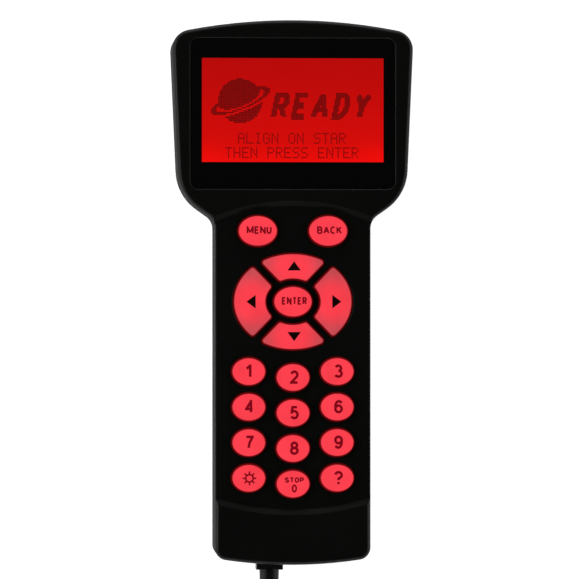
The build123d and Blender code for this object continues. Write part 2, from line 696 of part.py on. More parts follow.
def display_ribbon():
    """The flat cable from the cell's ledge, round the holder, into its connector."""
    top, turn, low = ribbon_levels()
    _, height = glass_size()
    half = RIBBON_WIDTH / 2
    start = VIEW_Y + height / 2 + 0.2
    t = RIBBON_THICKNESS
    return fused(
        [
            block((-half, half), (start, turn), (top, top + t)),
            block((-half, half), (turn - t, turn), (low, top + t)),
            block((-half, half), (turn - t, turn + RIBBON_GRIP), (low, low + t)),
        ]
    )


def ribbon_connector():
    """The socket on the board that grips the ribbon's end."""
    _, turn, low = ribbon_levels()
    width, depth, height = CONNECTOR_SIZE
    y = turn + 0.2
    body = block((-width / 2, width / 2), (y, y + depth), (BOARD_TOP, BOARD_TOP + height))
    half = RIBBON_WIDTH / 2 + 0.1
    tall = (low - 0.05, low + RIBBON_THICKNESS + 0.05)
    slot = block((-half, half), (y - 1, y + RIBBON_GRIP + 0.2), tall)
    return body - slot


# ---- Keypad mat ------------------------------------------------------------------------
def light_places():
    """The lamps that shine through the keypad, each with its turn."""
    half_pitch = COLUMN_PITCH / 2
    places = []
    for row in range(NUMBER_ROWS):
        y = TOP_Y - NUMBER_DROP - (row + 0.5) * ROW_PITCH - MIDDLE_COLUMN_DROP / 2
        places += [(x, y, 0) for x in (half_pitch, -half_pitch)]
    angle = math.radians(45)
    reach_x = (PAD_SIZE[0] / 2 + PAD_LIGHT_REACH) * math.cos(angle)
    reach_y = (PAD_SIZE[1] / 2 + PAD_LIGHT_REACH) * math.sin(angle)
    for sx, sy, turn in ((1, 1, -45), (-1, 1, 45), (1, -1, 45), (-1, -1, -45)):
        places.append((sx * reach_x, PAD_Y + sy * reach_y, turn))
    places += [(x, y, 90) for x, y in both_sides(SIDE_LIGHT_SPREAD, TOP_Y - SIDE_KEY_DROP)]
    return places


def key_lamps():
    """Small lamps on the board between the keys."""
    width, depth, height = LIGHT_SIZE
    lamp = slab(Rectangle(width, depth), BOARD_TOP, BOARD_TOP + height)
    return Compound(children=[Pos(x, y) * Rot(0, 0, a) * lamp for x, y, a in light_places()])


def keypad_mat():
    """The silicone sheet on the board, with a collar and a thin web round each key."""
    mat = slab(mat_outline(-WEB_GAP), BOARD_TOP, MAT_TOP)
    inner = WEB_REACH - COLLAR_WALL
    for name in KEYS:
        outline = KEYS[name][2]
        mat += slab(outline(WEB_REACH), BOARD_TOP, WEB_TOP)
    for name in KEYS:
        outline = KEYS[name][2]
        mat -= slab(outline(inner), BOARD_TOP, WEB_TOP - WEB_THICKNESS)
        mat -= slab(outline(WEB_GAP), BOARD_TOP, WEB_TOP)
    width, depth, height = LIGHT_SIZE
    pocket = Rectangle(width + 2 * LIGHT_POCKET, depth + 2 * LIGHT_POCKET)
    pocket = slab(pocket, BOARD_TOP, BOARD_TOP + height + LIGHT_POCKET)
    for x, y, turn in light_places():
        mat -= Pos(x, y) * Rot(0, 0, turn) * pocket
    return mat


# ---- Board -----------------------------------------------------------------------------
def circuit_board():
    """One board from head to foot, notched round the casing's bosses."""
    shape = inside(WALL + BOARD_CLEARANCE)
    for x, y in case_screw_places():
        shape -= Pos(x, y) * Circle(CASE_BOSS_RADIUS + 2 * SCREW_CLEARANCE)
    for x, y in board_screw_places():
        shape -= Pos(x, y) * Circle(BOARD_SCREW_RADIUS + SCREW_CLEARANCE)
    board = slab(shape, BOARD_BOTTOM, BOARD_TOP)
    return max(board.solids(), key=lambda s: s.volume)


def contact_pads():
    """A round gold contact under each key."""
    places = [pill_place(name) for name in KEYS]
    pads = [rod(x, y, PILL_RADIUS + 0.3, BOARD_TOP, BOARD_TOP + PAD_THICKNESS) for x, y in places]
    return Compound(children=pads)


def leg_row(middle, edge, sign, legs, pitch):
    """The span of each leg along a chip's side, and their span across it."""
    across = tuple(sorted((edge - sign * 0.2, edge + sign * LEG_REACH)))
    shifts = [middle + (i - (legs - 1) / 2) * pitch for i in range(legs)]
    return [(s - LEG_WIDTH / 2, s + LEG_WIDTH / 2) for s in shifts], across


def legged_chip(x, y, size, legs, pitch, all_round):
    """A flat chip under the board, with legs on two sides or all round."""
    half = size[0] / 2, size[1] / 2
    top = BOARD_BOTTOM - 0.1
    thick = (BOARD_BOTTOM - LEG_THICKNESS, BOARD_BOTTOM)
    body = block((x - half[0], x + half[0]), (y - half[1], y + half[1]), (top - size[2], top))
    solids = [body]
    for sign in (-1, 1):
        spans, across = leg_row(x, y + sign * half[1], sign, legs, pitch)
        solids += [block(span, across, thick) for span in spans]
        if all_round:
            spans, across = leg_row(y, x + sign * half[0], sign, legs, pitch)
            solids += [block(across, span, thick) for span in spans]
    return fused(solids)


def processor():
    """The main chip, behind the display."""
    return legged_chip(0, TOP_Y - PROCESSOR_DROP, PROCESSOR_SIZE, 14, 0.8, True)


def memory_chips():
    """Two memory chips behind the keypad."""
    across, up = MEMORY_PLACE
    places = both_sides(across, PAD_Y + up)
    return Compound(
        children=[legged_chip(x, y, MEMORY_SIZE, 4, 1.27, False) for x, y in places]
    )


def clock_crystal():
    """An oval metal can beside the processor."""
    width, length, height = CRYSTAL_SIZE
    shape = RectangleRounded(width, length, width / 2 - 0.1)
    can = slab(Pos(CRYSTAL_X, TOP_Y - PROCESSOR_DROP) * shape, BOARD_BOTTOM - height, BOARD_BOTTOM)
    return fillet(can.faces().sort_by(Axis.Z)[0].edges(), CAN_EDGE_RADIUS)


def capacitors():
    """Two round capacitors above the sockets."""
    low = BOARD_BOTTOM - CAPACITOR_HEIGHT
    cans = []
    for x, y in both_sides(CAPACITOR_PLACE[0], FOOT_Y + CAPACITOR_PLACE[1]):
        can = rod(x, y, CAPACITOR_RADIUS, low, BOARD_BOTTOM)
        cans.append(fillet(can.faces().sort_by(Axis.Z)[0].edges(), CAN_EDGE_RADIUS))
    return Compound(children=cans)


def cell_levels():
    """The lower and upper face of the coin cell."""
    top = BOARD_BOTTOM - CELL_BOARD_GAP
    return top - CELL_THICKNESS, top


def coin_cell():
    """The cell that keeps the clock running."""
    low, high = cell_levels()
    x, y = CELL_PLACE[0], TOP_Y - CELL_PLACE[1]
    cell = rod(x, y, CELL_RADIUS, low, high)
    return fillet(cell.edges(), CAN_EDGE_RADIUS - 0.1)


def cell_holder():
    """The cup that the coin cell snaps into."""
    low, high = cell_levels()
    x, y = CELL_PLACE[0], TOP_Y - CELL_PLACE[1]
    cup = rod(x, y, CELL_RADIUS + CELL_CUP_WALL, low + 0.6, BOARD_BOTTOM)
    cup -= rod(x, y, CELL_RADIUS + CELL_CLEARANCE, low - 1, high)
    notch = (x - 4, x + 4), (y + CELL_RADIUS - 3, y + CELL_RADIUS + 3)
    return cup - block(*notch, (low - 1, high))


def buzzer():
    """The round sounder that clicks at each key press."""
    y = FOOT_Y + BUZZER_RISE
    low = BOARD_BOTTOM - BUZZER_HEIGHT
    can = rod(0, y, BUZZER_RADIUS, low, BOARD_BOTTOM)
    can = fillet(can.faces().sort_by(Axis.Z)[0].edges(), CAN_EDGE_RADIUS)
    return can - rod(0, y, BUZZER_HOLE_RADIUS, low - 1, low + 1)


# ---- Sockets and plugs -----------------------------------------------------------------
def modular_socket(x, contacts):
    """A side-entry socket under the board, with its latch slot towards the back."""
    half_plug = PLUG_WIDTH[contacts] / 2 + PLUG_CLEARANCE
    half = half_plug + SOCKET_WALL
    back = SOCKET_FACE_Y + SOCKET_LENGTH
    body = block((x - half, x + half), (SOCKET_FACE_Y, back), (SOCKET_BOTTOM, SOCKET_TOP))
    low = PLUG_Z - PLUG_HEIGHT / 2 - PLUG_CLEARANCE
    high = PLUG_Z + PLUG_HEIGHT / 2 + PLUG_CLEARANCE
    depth = (SOCKET_FACE_Y - 1, SOCKET_FACE_Y + SOCKET_DEPTH)
    body -= block((x - half_plug, x + half_plug), depth, (low, high))
    latch = min(LATCH_WIDTH, PLUG_WIDTH[contacts] - 1.2) / 2 + 0.2
    body -= block((x - latch, x + latch), depth, (low - LATCH_SLOT, low))
    return body


def socket_contacts(x, contacts):
    """Sprung gold wires in the roof of a socket's rear end."""
    high = PLUG_Z + PLUG_HEIGHT / 2 + PLUG_CLEARANCE
    back = SOCKET_FACE_Y + SOCKET_DEPTH
    wires = []
    for i in range(contacts):
        wx = x + (i - (contacts - 1) / 2) * CONTACT_PITCH
        wide = (wx - CONTACT_THICKNESS / 2, wx + CONTACT_THICKNESS / 2)
        wires.append(block(wide, (back - 0.4, back), (PLUG_Z + 1.6, high)))
    return Compound(children=wires)


def modular_plug(contacts):
    """A plug with its nose towards +Y, its rear face at the origin and its latch below."""
    width = PLUG_WIDTH[contacts]
    half, tall = width / 2, PLUG_HEIGHT / 2
    body = block((-half, half), (0, PLUG_LENGTH), (-tall, tall))
    body = fillet(body.edges().filter_by(Axis.Y), 0.4)
    for i in range(contacts):
        x = (i - (contacts - 1) / 2) * CONTACT_PITCH
        wide = (x - 0.3, x + 0.3)
        along = (PLUG_LENGTH - BLADE_LENGTH, PLUG_LENGTH + 1)
        body -= block(wide, along, (tall - BLADE_DEPTH, tall + 1))
    reach = min(LATCH_WIDTH, width - 1.2) / 2
    drop = LATCH_THICKNESS + 0.9
    low = -tall - drop
    arm = block((-reach, reach), (-0.8, PLUG_LENGTH - 1.5), (low, low + LATCH_THICKNESS))
    root = (PLUG_LENGTH - 2.6, PLUG_LENGTH - 1.5)
    arm += block((-reach, reach), root, (low, -tall + 0.3))
    step = (PLUG_LENGTH - 6.2, PLUG_LENGTH - 5.2)
    arm += block((-reach, reach), step, (low - 0.5, low + 0.1))
    return body + arm


def plug_contacts(contacts, place):
    """The gold blades in a plug's nose, each put in its place."""
    tall = PLUG_HEIGHT / 2
    blades = []
    for i in range(contacts):
        x = (i - (contacts - 1) / 2) * CONTACT_PITCH
        wide = (x - CONTACT_THICKNESS / 2, x + CONTACT_THICKNESS / 2)
        along = (PLUG_LENGTH - BLADE_LENGTH, PLUG_LENGTH - BLADE_SINK)
        blade = block(wide, along, (tall - BLADE_DEPTH, tall - BLADE_SINK))
        blades.append(place * blade)
    return Compound(children=blades)


def boot():
    """A ribbed, tapered strain relief from the origin along -Y."""
    end = BOOT_LENGTH
    profile = [(0, 0), (BOOT_START_RADIUS, 0), (BOOT_END_RADIUS, end), (0, end)]
    solid = revolve(Plane.XY * make_face(Polyline(profile, close=True)), Axis.Y)
    taper = (BOOT_START_RADIUS - BOOT_END_RADIUS) / BOOT_LENGTH
    for i in range(BOOT_GROOVES):
        at = BOOT_LENGTH * (i + 1.6) / (BOOT_GROOVES + 1.4)
        outer = BOOT_START_RADIUS - taper * at
        ring = Cylinder(outer + 1, 1.1) - Cylinder(outer - BOOT_GROOVE_DEPTH, 1.1)
        solid -= Pos(0, at, 0) * Rot(90, 0, 0) * ring
    return Rot(0, 0, 180) * solid


# ---- Lead ------------------------------------------------------------------------------
def smooth_tube(points, name):
    """A round tube along straight runs joined by the largest arcs that they allow."""
    vectors = [Vector(*p) for p in points]
    runs = [b - a for a, b in zip(vectors, vectors[1:])]
    radii = []
    for before, after in zip(runs, runs[1:]):
        turn = math.radians(before.get_angle(after))
        radii.append(0.45 * min(before.length, after.length) / math.tan(turn / 2))
    path = FilletPolyline(*points, radius=radii)
    start = Plane(origin=vectors[0], z_dir=runs[0])
    tube = sweep(start * Circle(LEAD_RADIUS), path=path)
    length = path.length
    expected = math.pi * LEAD_RADIUS**2 * length
    print(name, "radii", [round(r, 1) for r in radii], "length", round(length, 1))
    print(name, "volume share", round(tube.volume / expected, 4))
    return tube


def lead_route():
    """From the near boot down to the table and on to the coil."""
    drop = PLUG_Z - LEAD_RADIUS
    return [
        (LEAD_SOCKET_X + side, BOOT_END_Y - step, PLUG_Z - share * drop)
        for step, share, side in zip(LEAD_STEPS, LEAD_FALLS, LEAD_SIDES)
    ]


def tail_route():
    """From the top of the coil, on its right, down to the far boot."""
    x, y = COIL_X + COIL_MEAN_RADIUS + LEAD_DIAMETER, COIL_Y
    drop = TAIL_TOP - FAR_Z
    return [
        (x - side, y + step, TAIL_TOP - share * drop)
        for step, share, side in zip(TAIL_STEPS, TAIL_FALLS, TAIL_SIDES)
    ]


def far_end():
    """Where the far boot begins, and its turn about Z."""
    (ax, ay, _), (bx, by, _) = tail_route()[-2:]
    return bx, by, math.degrees(math.atan2(ax - bx, by - ay))


def lead_coil():
    """The outer shape of the tied bundle of turns, cleared where the tie passes under it."""
    width, height = COIL_SECTION
    shape = Pos(COIL_MEAN_RADIUS, height / 2) * RectangleRounded(
        width, height, COIL_CORNER_RADIUS
    )
    ring = revolve(Plane.XZ * shape, Axis.Z)
    return Pos(COIL_X, COIL_Y, 0) * ring - coil_tie_space()


def tie_frame(grow_in, grow_out):
    """A flat band round the bundle at the coil's far side."""
    width, height = COIL_SECTION
    low, high = TIE_THICKNESS, height + TIE_THICKNESS * 0.2
    y = COIL_Y - COIL_MEAN_RADIUS
    half = TIE_WIDTH / 2
    outer = block(
        (COIL_X - half, COIL_X + half),
        (y - width / 2 - grow_out, y + width / 2 + grow_out),
        (low - TIE_THICKNESS, high + TIE_THICKNESS),
    )
    hollow = block(
        (COIL_X - half - 1, COIL_X + half + 1),
        (y - width / 2 - grow_in, y + width / 2 + grow_in),
        (low, high),
    )
    return outer, hollow


def coil_tie_space():
    """What the tie takes from the bundle's underside."""
    outer, hollow = tie_frame(0.6, 0.6 + TIE_THICKNESS)
    return outer - hollow


def coil_tie():
    """The hook-and-loop strap round the bundle."""
    outer, hollow = tie_frame(0.6, 0.6 + TIE_THICKNESS)
    band = fillet(outer.edges().filter_by(Axis.X), 1.6)
    return band - hollow


# ---- Fasteners -------------------------------------------------------------------------
def pan_screw(x, y, head_top, shank, radius, head_radius, head_height):
    """A pan-head screw driven upwards, with a cross recess in its head."""
    head = rod(x, y, head_radius, head_top - head_height, head_top)
    head = fillet(head.faces().sort_by(Axis.Z)[0].edges(), head_height * 0.4)
    low = head_top - head_height
    arm, wide = head_radius * 0.62, head_radius * 0.14
    for half_x, half_y in ((arm, wide), (wide, arm)):
        cross = (x - half_x, x + half_x), (y - half_y, y + half_y)
        head -= block(*cross, (low - 1, low + head_height * 0.55))
    return head + rod(x, y, radius, head_top, head_top + shank)


def casing_screws():
    """Six screws from the back shell into the front shell's bosses."""
    size = (CASE_SCREW_RADIUS, CASE_SCREW_HEAD_RADIUS, CASE_SCREW_HEAD_HEIGHT)
    places = case_screw_places()
    return Compound(
        children=[pan_screw(x, y, COUNTERBORE_DEPTH, CASE_SCREW_LENGTH, *size) for x, y in places]
    )


def board_screws():
    """Four screws through the board into the front shell."""
    size = (BOARD_SCREW_RADIUS, BOARD_SCREW_HEAD_RADIUS, BOARD_SCREW_HEAD_HEIGHT)
    places = board_screw_places()
    return Compound(
        children=[pan_screw(x, y, BOARD_BOTTOM, BOARD_SCREW_LENGTH, *size) for x, y in places]
    )


# ---- All the nodes ---------------------------------------------------------------------
def far_boot_place():
    """Where the far boot goes, its small end on the lead."""
    x, y, turn = far_end()
    return Pos(x, y, FAR_Z) * Rot(0, 0, turn) * Pos(0, BOOT_LENGTH, 0)


def far_plug_place():
    """Where the far plug goes, its latch upwards."""
    return far_boot_place() * Rot(0, 180, 0)


def nodes():
    """Every node by name."""
    made = {
        "front_shell": front_shell(),
        "back_shell": back_shell(),
        "display_window": display_window(),
        "window_mask": window_mask(),
        "display_cell": display_cell(),
        "display_holder": display_holder(),
        "light_panel": light_panel(),
        "panel_lamps": panel_lamps(),
        "display_ribbon": display_ribbon(),
        "ribbon_connector": ribbon_connector(),
        "circuit_board": circuit_board(),
        "contact_pads": contact_pads(),
        "keypad_mat": keypad_mat(),
        "key_lamps": key_lamps(),
        "processor": processor(),
        "memory_chips": memory_chips(),
        "clock_crystal": clock_crystal(),
        "capacitors": capacitors(),
        "coin_cell": coin_cell(),
        "cell_holder": cell_holder(),
        "buzzer": buzzer(),
        "reading_lamp": reading_lamp(),
        "reading_lamp_lens": reading_lamp_lens(),
        "rating_label": rating_label(),
        "lead_socket": modular_socket(LEAD_SOCKET_X, 6),
        "lead_socket_contacts": socket_contacts(LEAD_SOCKET_X, 6),
        "serial_socket": modular_socket(SERIAL_SOCKET_X, 4),
        "serial_socket_contacts": socket_contacts(SERIAL_SOCKET_X, 4),
        "casing_screws": casing_screws(),
        "board_screws": board_screws(),
        "near_plug": NEAR_END * modular_plug(6),
        "near_plug_contacts": plug_contacts(6, NEAR_END),
        "near_boot": NEAR_END * boot(),
        "lead": smooth_tube(lead_route(), "lead"),
        "lead_coil": lead_coil(),
        "coil_tie": coil_tie(),
        "lead_tail": smooth_tube(tail_route(), "tail"),
        "far_boot": far_boot_place() * boot(),
        "far_plug": far_plug_place() * modular_plug(6),
        "far_plug_contacts": plug_contacts(6, far_plug_place()),
    }
    made.update({name: key(name) for name in KEYS})
    return made


def main():
    os.makedirs("parts", exist_ok=True)
    for name, shape in nodes().items():
        export_step(shape, f"parts/{name}.step")


main()
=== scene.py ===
# %% [markdown]
# # A telescope's hand controller
# The controller is a black moulded handset. It has a wide head with a red-lit display, a sunk
# area of soft lit keys below it, and a lead with a modular plug at each end. The measured parts
# come in ready made as a fixed frame, and everything here is built around them, in metres.

import math

import bpy
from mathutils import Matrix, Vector


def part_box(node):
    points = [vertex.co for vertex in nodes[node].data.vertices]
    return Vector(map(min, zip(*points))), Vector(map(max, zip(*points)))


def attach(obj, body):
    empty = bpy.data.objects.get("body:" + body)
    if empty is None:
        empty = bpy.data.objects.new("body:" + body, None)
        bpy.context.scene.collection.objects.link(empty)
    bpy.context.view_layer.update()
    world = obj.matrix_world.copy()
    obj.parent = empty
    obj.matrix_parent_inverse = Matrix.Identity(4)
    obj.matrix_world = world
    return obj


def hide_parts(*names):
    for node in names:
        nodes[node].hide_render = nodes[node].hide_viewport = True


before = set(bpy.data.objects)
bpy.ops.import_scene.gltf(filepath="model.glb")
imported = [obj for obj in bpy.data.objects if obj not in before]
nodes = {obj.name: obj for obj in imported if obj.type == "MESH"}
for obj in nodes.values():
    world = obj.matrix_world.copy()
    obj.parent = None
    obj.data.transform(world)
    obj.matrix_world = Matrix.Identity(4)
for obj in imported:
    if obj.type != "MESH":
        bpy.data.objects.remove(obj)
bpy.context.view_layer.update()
MM = 0.001
print("frame nodes:", len(nodes))

# %% [markdown]
# ## Camera
# A flat handset shows best from straight above through a long lens, so that nothing looks
# tapered. Here the camera leans a little to the left, which shows a thin strip of the left
# wall. It stands far off, and its lens is worked out from the width it has to take in at the
# height of the key face.

# %% Camera
SENSOR = 36.0
FIELD_WIDTH = 205.5 * MM
LEAN = math.radians(3.4)
DISTANCE = 1.5
AIM = Vector((-1.2 * MM, 1.07 * MM, 26 * MM))
FAR_CLIP = 20.0

camera_data = bpy.data.cameras.new("camera")
camera = bpy.data.objects.new("camera", camera_data)
bpy.context.scene.collection.objects.link(camera)
toward = Vector((-math.sin(LEAN), 0, math.cos(LEAN)))
camera.location = AIM + DISTANCE * toward
camera.rotation_euler = (0, -LEAN, 0)
camera_data.sensor_width = SENSOR
camera_data.lens = SENSOR * DISTANCE / FIELD_WIDTH
camera_data.clip_end = FAR_CLIP
bpy.context.scene.camera = camera
print("lens", round(camera_data.lens), "mm")

# %% [markdown]
# ## Small helpers
# Operators act on what is selected, so each piece starts from a clean selection. When a piece
# is done, its place is moved into its mesh, which leaves the object itself at the origin.


# %% Helpers for selecting and finishing
def deselect_all():
    for thing in bpy.context.selected_objects:
        thing.select_set(False)


def take(piece):
    """Makes a piece the only selected and active one."""
    deselect_all()
    piece.select_set(True)
    bpy.context.view_layer.objects.active = piece
    return piece


def settle(piece):
    """Puts the piece's place, turn and size into its mesh."""
    take(piece)
    bpy.ops.object.transform_apply(location=True, rotation=True, scale=True)
    return piece


def modifier(piece, kind, **settings):
    """Adds a modifier with its settings and applies it."""
    take(piece)
    added = piece.modifiers.new(kind.lower(), kind)
    for name, value in settings.items():
        setattr(added, name, value)
    bpy.ops.object.modifier_apply(modifier=added.name)
    return piece


def dress(piece, material):
    """Gives a piece one material."""
    piece.data.materials.clear()
    piece.data.materials.append(material)
    return piece


# %% [markdown]
# ## The lead's route
# The lead leaves the boot at the foot, sinks to the table, and runs into a neat coil of its
# spare length. A round cord is one smooth curve: a few listed points for the stretch that
# lies free, and then points around the coil worked out by a loop. In the coil each turn keeps
# its own place in the bundle, and moves to the next place a little earlier on each turn, so
# that no turn passes through another.

# %% Points of the lead
LEAD_RADIUS = 2.5 * MM
INSIDE_BOOT = 6 * MM
# For each point: mm away from the boot, the share of the drop to the table, mm to one side.
LEAD_STEPS = (0.0, 9.0, 24.0, 41.0, 55.0, 67.0)
LEAD_FALLS = (0.0, 0.0, 0.42, 0.92, 1.0, 1.0)
LEAD_SIDES = (0.0, 0.0, 0.4, 0.3, -0.2, -0.3)
TAIL_STEPS = (0.0, 11.0, 23.0, 35.0, 46.0)
TAIL_FALLS = (0.0, 0.06, 0.55, 1.0, 1.0)
TAIL_SIDES = (0.0, 0.0, 0.6, 1.6, 3.4)

boot_low, boot_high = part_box("near_boot")
coil_low, coil_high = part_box("lead_coil")
far_low, far_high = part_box("far_boot")
exit_point = Vector(((boot_low.x + boot_high.x) / 2, boot_low.y, (boot_low.z + boot_high.z) / 2))
coil_centre = Vector(((coil_low.x + coil_high.x) / 2, (coil_low.y + coil_high.y) / 2, 0))
far_height = (far_low.z + far_high.z) / 2


def lead_points():
    """From inside the near boot to the table."""
    drop = exit_point.z - LEAD_RADIUS
    points = [exit_point + Vector((0, INSIDE_BOOT, 0))]
    for step, fall, side in zip(LEAD_STEPS, LEAD_FALLS, LEAD_SIDES):
        points.append(exit_point + Vector((side * MM, -step * MM, -fall * drop)))
    return points


# %% Points of the coil
COLUMN = 5.15 * MM
LAYER = 5.1 * MM
MEAN_RADIUS = 28 * MM
STEP_DEGREES = 15
CHANGE_DEGREES = 44
TIE_ANGLE = 270
TIE_LIFT = 1.2 * MM
TIE_SPREAD = 34
TIE_FLATNESS = 1.5
# Each change of place: the angle where it happens, then the column and layer it leads to.
PLACES = (
    (180, 1, 0),
    (525, 1, 1),
    (840, 0, 1),
    (1155, 0, 0),
    (1470, -1, 0),
    (1785, -1, 1),
    (2145, -1, 2),
    (2460, 0, 2),
    (2820, 1, 2),
)
LAST_ANGLE = 2880


def smooth_step(share):
    """An even change from 0 to 1 that starts and ends gently."""
    share = min(max(share, 0.0), 1.0)
    return share * share * (3 - 2 * share)


def place_at(angle):
    """The column and layer of the cord at an angle along the coil."""
    column, layer = PLACES[0][1:]
    for at, next_column, next_layer in PLACES[1:]:
        share = smooth_step((angle - at) / CHANGE_DEGREES + 0.5)
        column += (next_column - column) * share
        layer += (next_layer - layer) * share
    return column, layer


def tie_lift(angle):
    """How far the strap under the bundle lifts the turns."""
    away = abs((angle - TIE_ANGLE + 180) % 360 - 180)
    return TIE_LIFT * smooth_step(TIE_FLATNESS * (1 - away / TIE_SPREAD))


def coil_points():
    """Round the bundle, anticlockwise from its left side."""
    # The curve runs inside its control points by this share of the radius.
    inside = 0.75 + 0.25 * math.cos(math.radians(STEP_DEGREES))
    points = []
    for angle in range(PLACES[0][0], LAST_ANGLE + 1, STEP_DEGREES):
        column, layer = place_at(angle)
        radius = (MEAN_RADIUS + column * COLUMN) / inside
        turn = math.radians(angle)
        height = LEAD_RADIUS + layer * LAYER + tie_lift(angle)
        offset = Vector((radius * math.cos(turn), radius * math.sin(turn), height))
        points.append(coil_centre + offset)
    return points


# %% The whole lead
CORD_STEPS = 4
CORD_FACETS = 7


def tail_points(top):
    """From the top of the bundle down to the far boot."""
    start = Vector((coil_centre.x + MEAN_RADIUS + LEAD_RADIUS * 2, coil_centre.y, top))
    drop = top - far_height
    points = []
    for step, fall, side in list(zip(TAIL_STEPS, TAIL_FALLS, TAIL_SIDES))[1:]:
        points.append(start + Vector((-side * MM, step * MM, -fall * drop)))
    onward = (points[-1] - points[-2]).normalized()
    points.append(points[-1] + onward * INSIDE_BOOT)
    return points


route = lead_points()
route += coil_points()
route += tail_points(route[-1].z)

lead_curve = bpy.data.curves.new("lead_cord", "CURVE")
lead_curve.dimensions = "3D"
spline = lead_curve.splines.new("NURBS")
spline.points.add(len(route) - 1)
for point, place in zip(spline.points, route):
    point.co = (*place, 1)
spline.order_u = 3
spline.use_endpoint_u = True
spline.resolution_u = CORD_STEPS
lead_curve.bevel_depth = LEAD_RADIUS
lead_curve.bevel_resolution = CORD_FACETS
lead_curve.use_fill_caps = True
lead_cord = bpy.data.objects.new("lead_cord", lead_curve)
bpy.context.scene.collection.objects.link(lead_cord)
print("lead points:", len(route))

# %% [markdown]
# ## Shared effects
# Three effects are used by many finishes, so each is built once as a node group. Grain gives
# the fine roughness of a mould surface and slow patches of tone. Edge finds rounded corners by
# comparing the true normal with one that a small bevel would give. Dust settles on what faces
# up, in soft flecks.


# %% Node helpers
def link(tree, a, b):
    tree.links.new(a, b)


def add(tree, kind, **settings):
    """Adds a node and sets its plain properties."""
    node = tree.nodes.new(kind)
    for name, value in settings.items():
        setattr(node, name, value)
    return node


def fill(node, **values):
    """Sets a node's own values. An underscore in a name stands for a space."""
    for name, value in values.items():
        node.inputs[name.replace("_", " ")].default_value = value
    return node


def maths(tree, operation, a, b=None, clamp=False):
    """A Math node fed by sockets or numbers."""
    node = add(tree, "ShaderNodeMath", operation=operation, use_clamp=clamp)
    for socket, value in zip(node.inputs, (a, b)):
        if value is None:
            continue
        if hasattr(value, "is_linked"):
            link(tree, value, socket)
        else:
            socket.default_value = value
    return node.outputs[0]


def mix_colour(tree, share, a, b):
    """Blends two colours, each a socket or four numbers."""
    node = add(tree, "ShaderNodeMix", data_type="RGBA")
    for socket, value in ((node.inputs[0], share), (node.inputs[6], a), (node.inputs[7], b)):
        if hasattr(value, "is_linked"):
            link(tree, value, socket)
        else:
            socket.default_value = value
    return node.outputs[2]


def scaled(tree, value, factor, start):
    """A value times a factor, added to a start."""
    result = maths(tree, "MULTIPLY_ADD", value, factor)
    result.node.inputs[2].default_value = start
    return result


def remap(tree, value, low, high, at_low=0.0, at_high=1.0, kind="SMOOTHSTEP"):
    """A value carried over from one range to another."""
    node = add(tree, "ShaderNodeMapRange", interpolation_type=kind)
    link(tree, value, node.inputs["Value"])
    fill(node, From_Min=low, From_Max=high, To_Min=at_low, To_Max=at_high)
    return node.outputs["Result"]


def ramp(tree, share, stops):
    """A colour ramp with (place, colour) stops."""
    node = add(tree, "ShaderNodeValToRGB")
    elements = node.color_ramp.elements
    while len(elements) < len(stops):
        elements.new(0.5)
    for element, (place, colour) in zip(elements, stops):
        element.position = place
        element.color = colour
    link(tree, share, node.inputs[0])
    return node.outputs[0]


def own_place(tree):
    """Where a point lies on the piece's own coordinates."""
    return add(tree, "ShaderNodeTexCoord").outputs["Object"]


def split(tree, vector):
    """The three parts of a vector."""
    node = add(tree, "ShaderNodeSeparateXYZ")
    link(tree, vector, node.inputs[0])
    return node.outputs


def upward(tree):
    """How far the surface faces up: 1 on a level top, 0 on a wall."""
    return split(tree, add(tree, "ShaderNodeTexCoord").outputs["Normal"])["Z"]


def new_group(name, inputs, outputs):
    """An empty node group with named sockets."""
    tree = bpy.data.node_groups.new(name, "ShaderNodeTree")
    for label, kind, value in inputs:
        socket = tree.interface.new_socket(label, in_out="INPUT", socket_type=kind)
        socket.default_value = value
    for label, kind in outputs:
        tree.interface.new_socket(label, in_out="OUTPUT", socket_type=kind)
    return tree, tree.nodes.new("NodeGroupInput"), tree.nodes.new("NodeGroupOutput")


# %% Grain, edge and dust groups
FLECK_LEVEL = 0.58
FLECK_SHARPNESS = 5.0


def make_grain():
    """Fine height and slow patches, both on the piece's own coordinates."""
    inputs = [("Size", "NodeSocketFloat", 2500.0), ("Patch Size", "NodeSocketFloat", 60.0)]
    outputs = [("Height", "NodeSocketFloat"), ("Patches", "NodeSocketFloat")]
    tree, source, result = new_group("Grain", inputs, outputs)
    fine = fill(add(tree, "ShaderNodeTexNoise"), Detail=3.0, Roughness=0.6)
    slow = fill(add(tree, "ShaderNodeTexNoise"), Detail=4.0)
    for noise, size, made in ((fine, "Size", "Height"), (slow, "Patch Size", "Patches")):
        link(tree, own_place(tree), noise.inputs["Vector"])
        link(tree, source.outputs[size], noise.inputs["Scale"])
        link(tree, noise.outputs["Fac"], result.inputs[made])
    return tree


def make_edge():
    """A mask of corners and rims."""
    inputs = [("Width", "NodeSocketFloat", 0.0004), ("Contrast", "NodeSocketFloat", 6.0)]
    outputs = [("Mask", "NodeSocketFloat"), ("Rounded", "NodeSocketVector")]
    tree, source, result = new_group("Edge", inputs, outputs)
    rounded = add(tree, "ShaderNodeBevel", samples=6)
    link(tree, source.outputs["Width"], rounded.inputs["Radius"])
    true = add(tree, "ShaderNodeNewGeometry")
    agree = add(tree, "ShaderNodeVectorMath", operation="DOT_PRODUCT")
    link(tree, rounded.outputs["Normal"], agree.inputs[0])
    link(tree, true.outputs["Normal"], agree.inputs[1])
    apart = maths(tree, "SUBTRACT", 1.0, agree.outputs["Value"])
    mask = maths(tree, "MULTIPLY", apart, source.outputs["Contrast"], clamp=True)
    link(tree, mask, result.inputs["Mask"])
    link(tree, rounded.outputs["Normal"], result.inputs["Rounded"])
    return tree


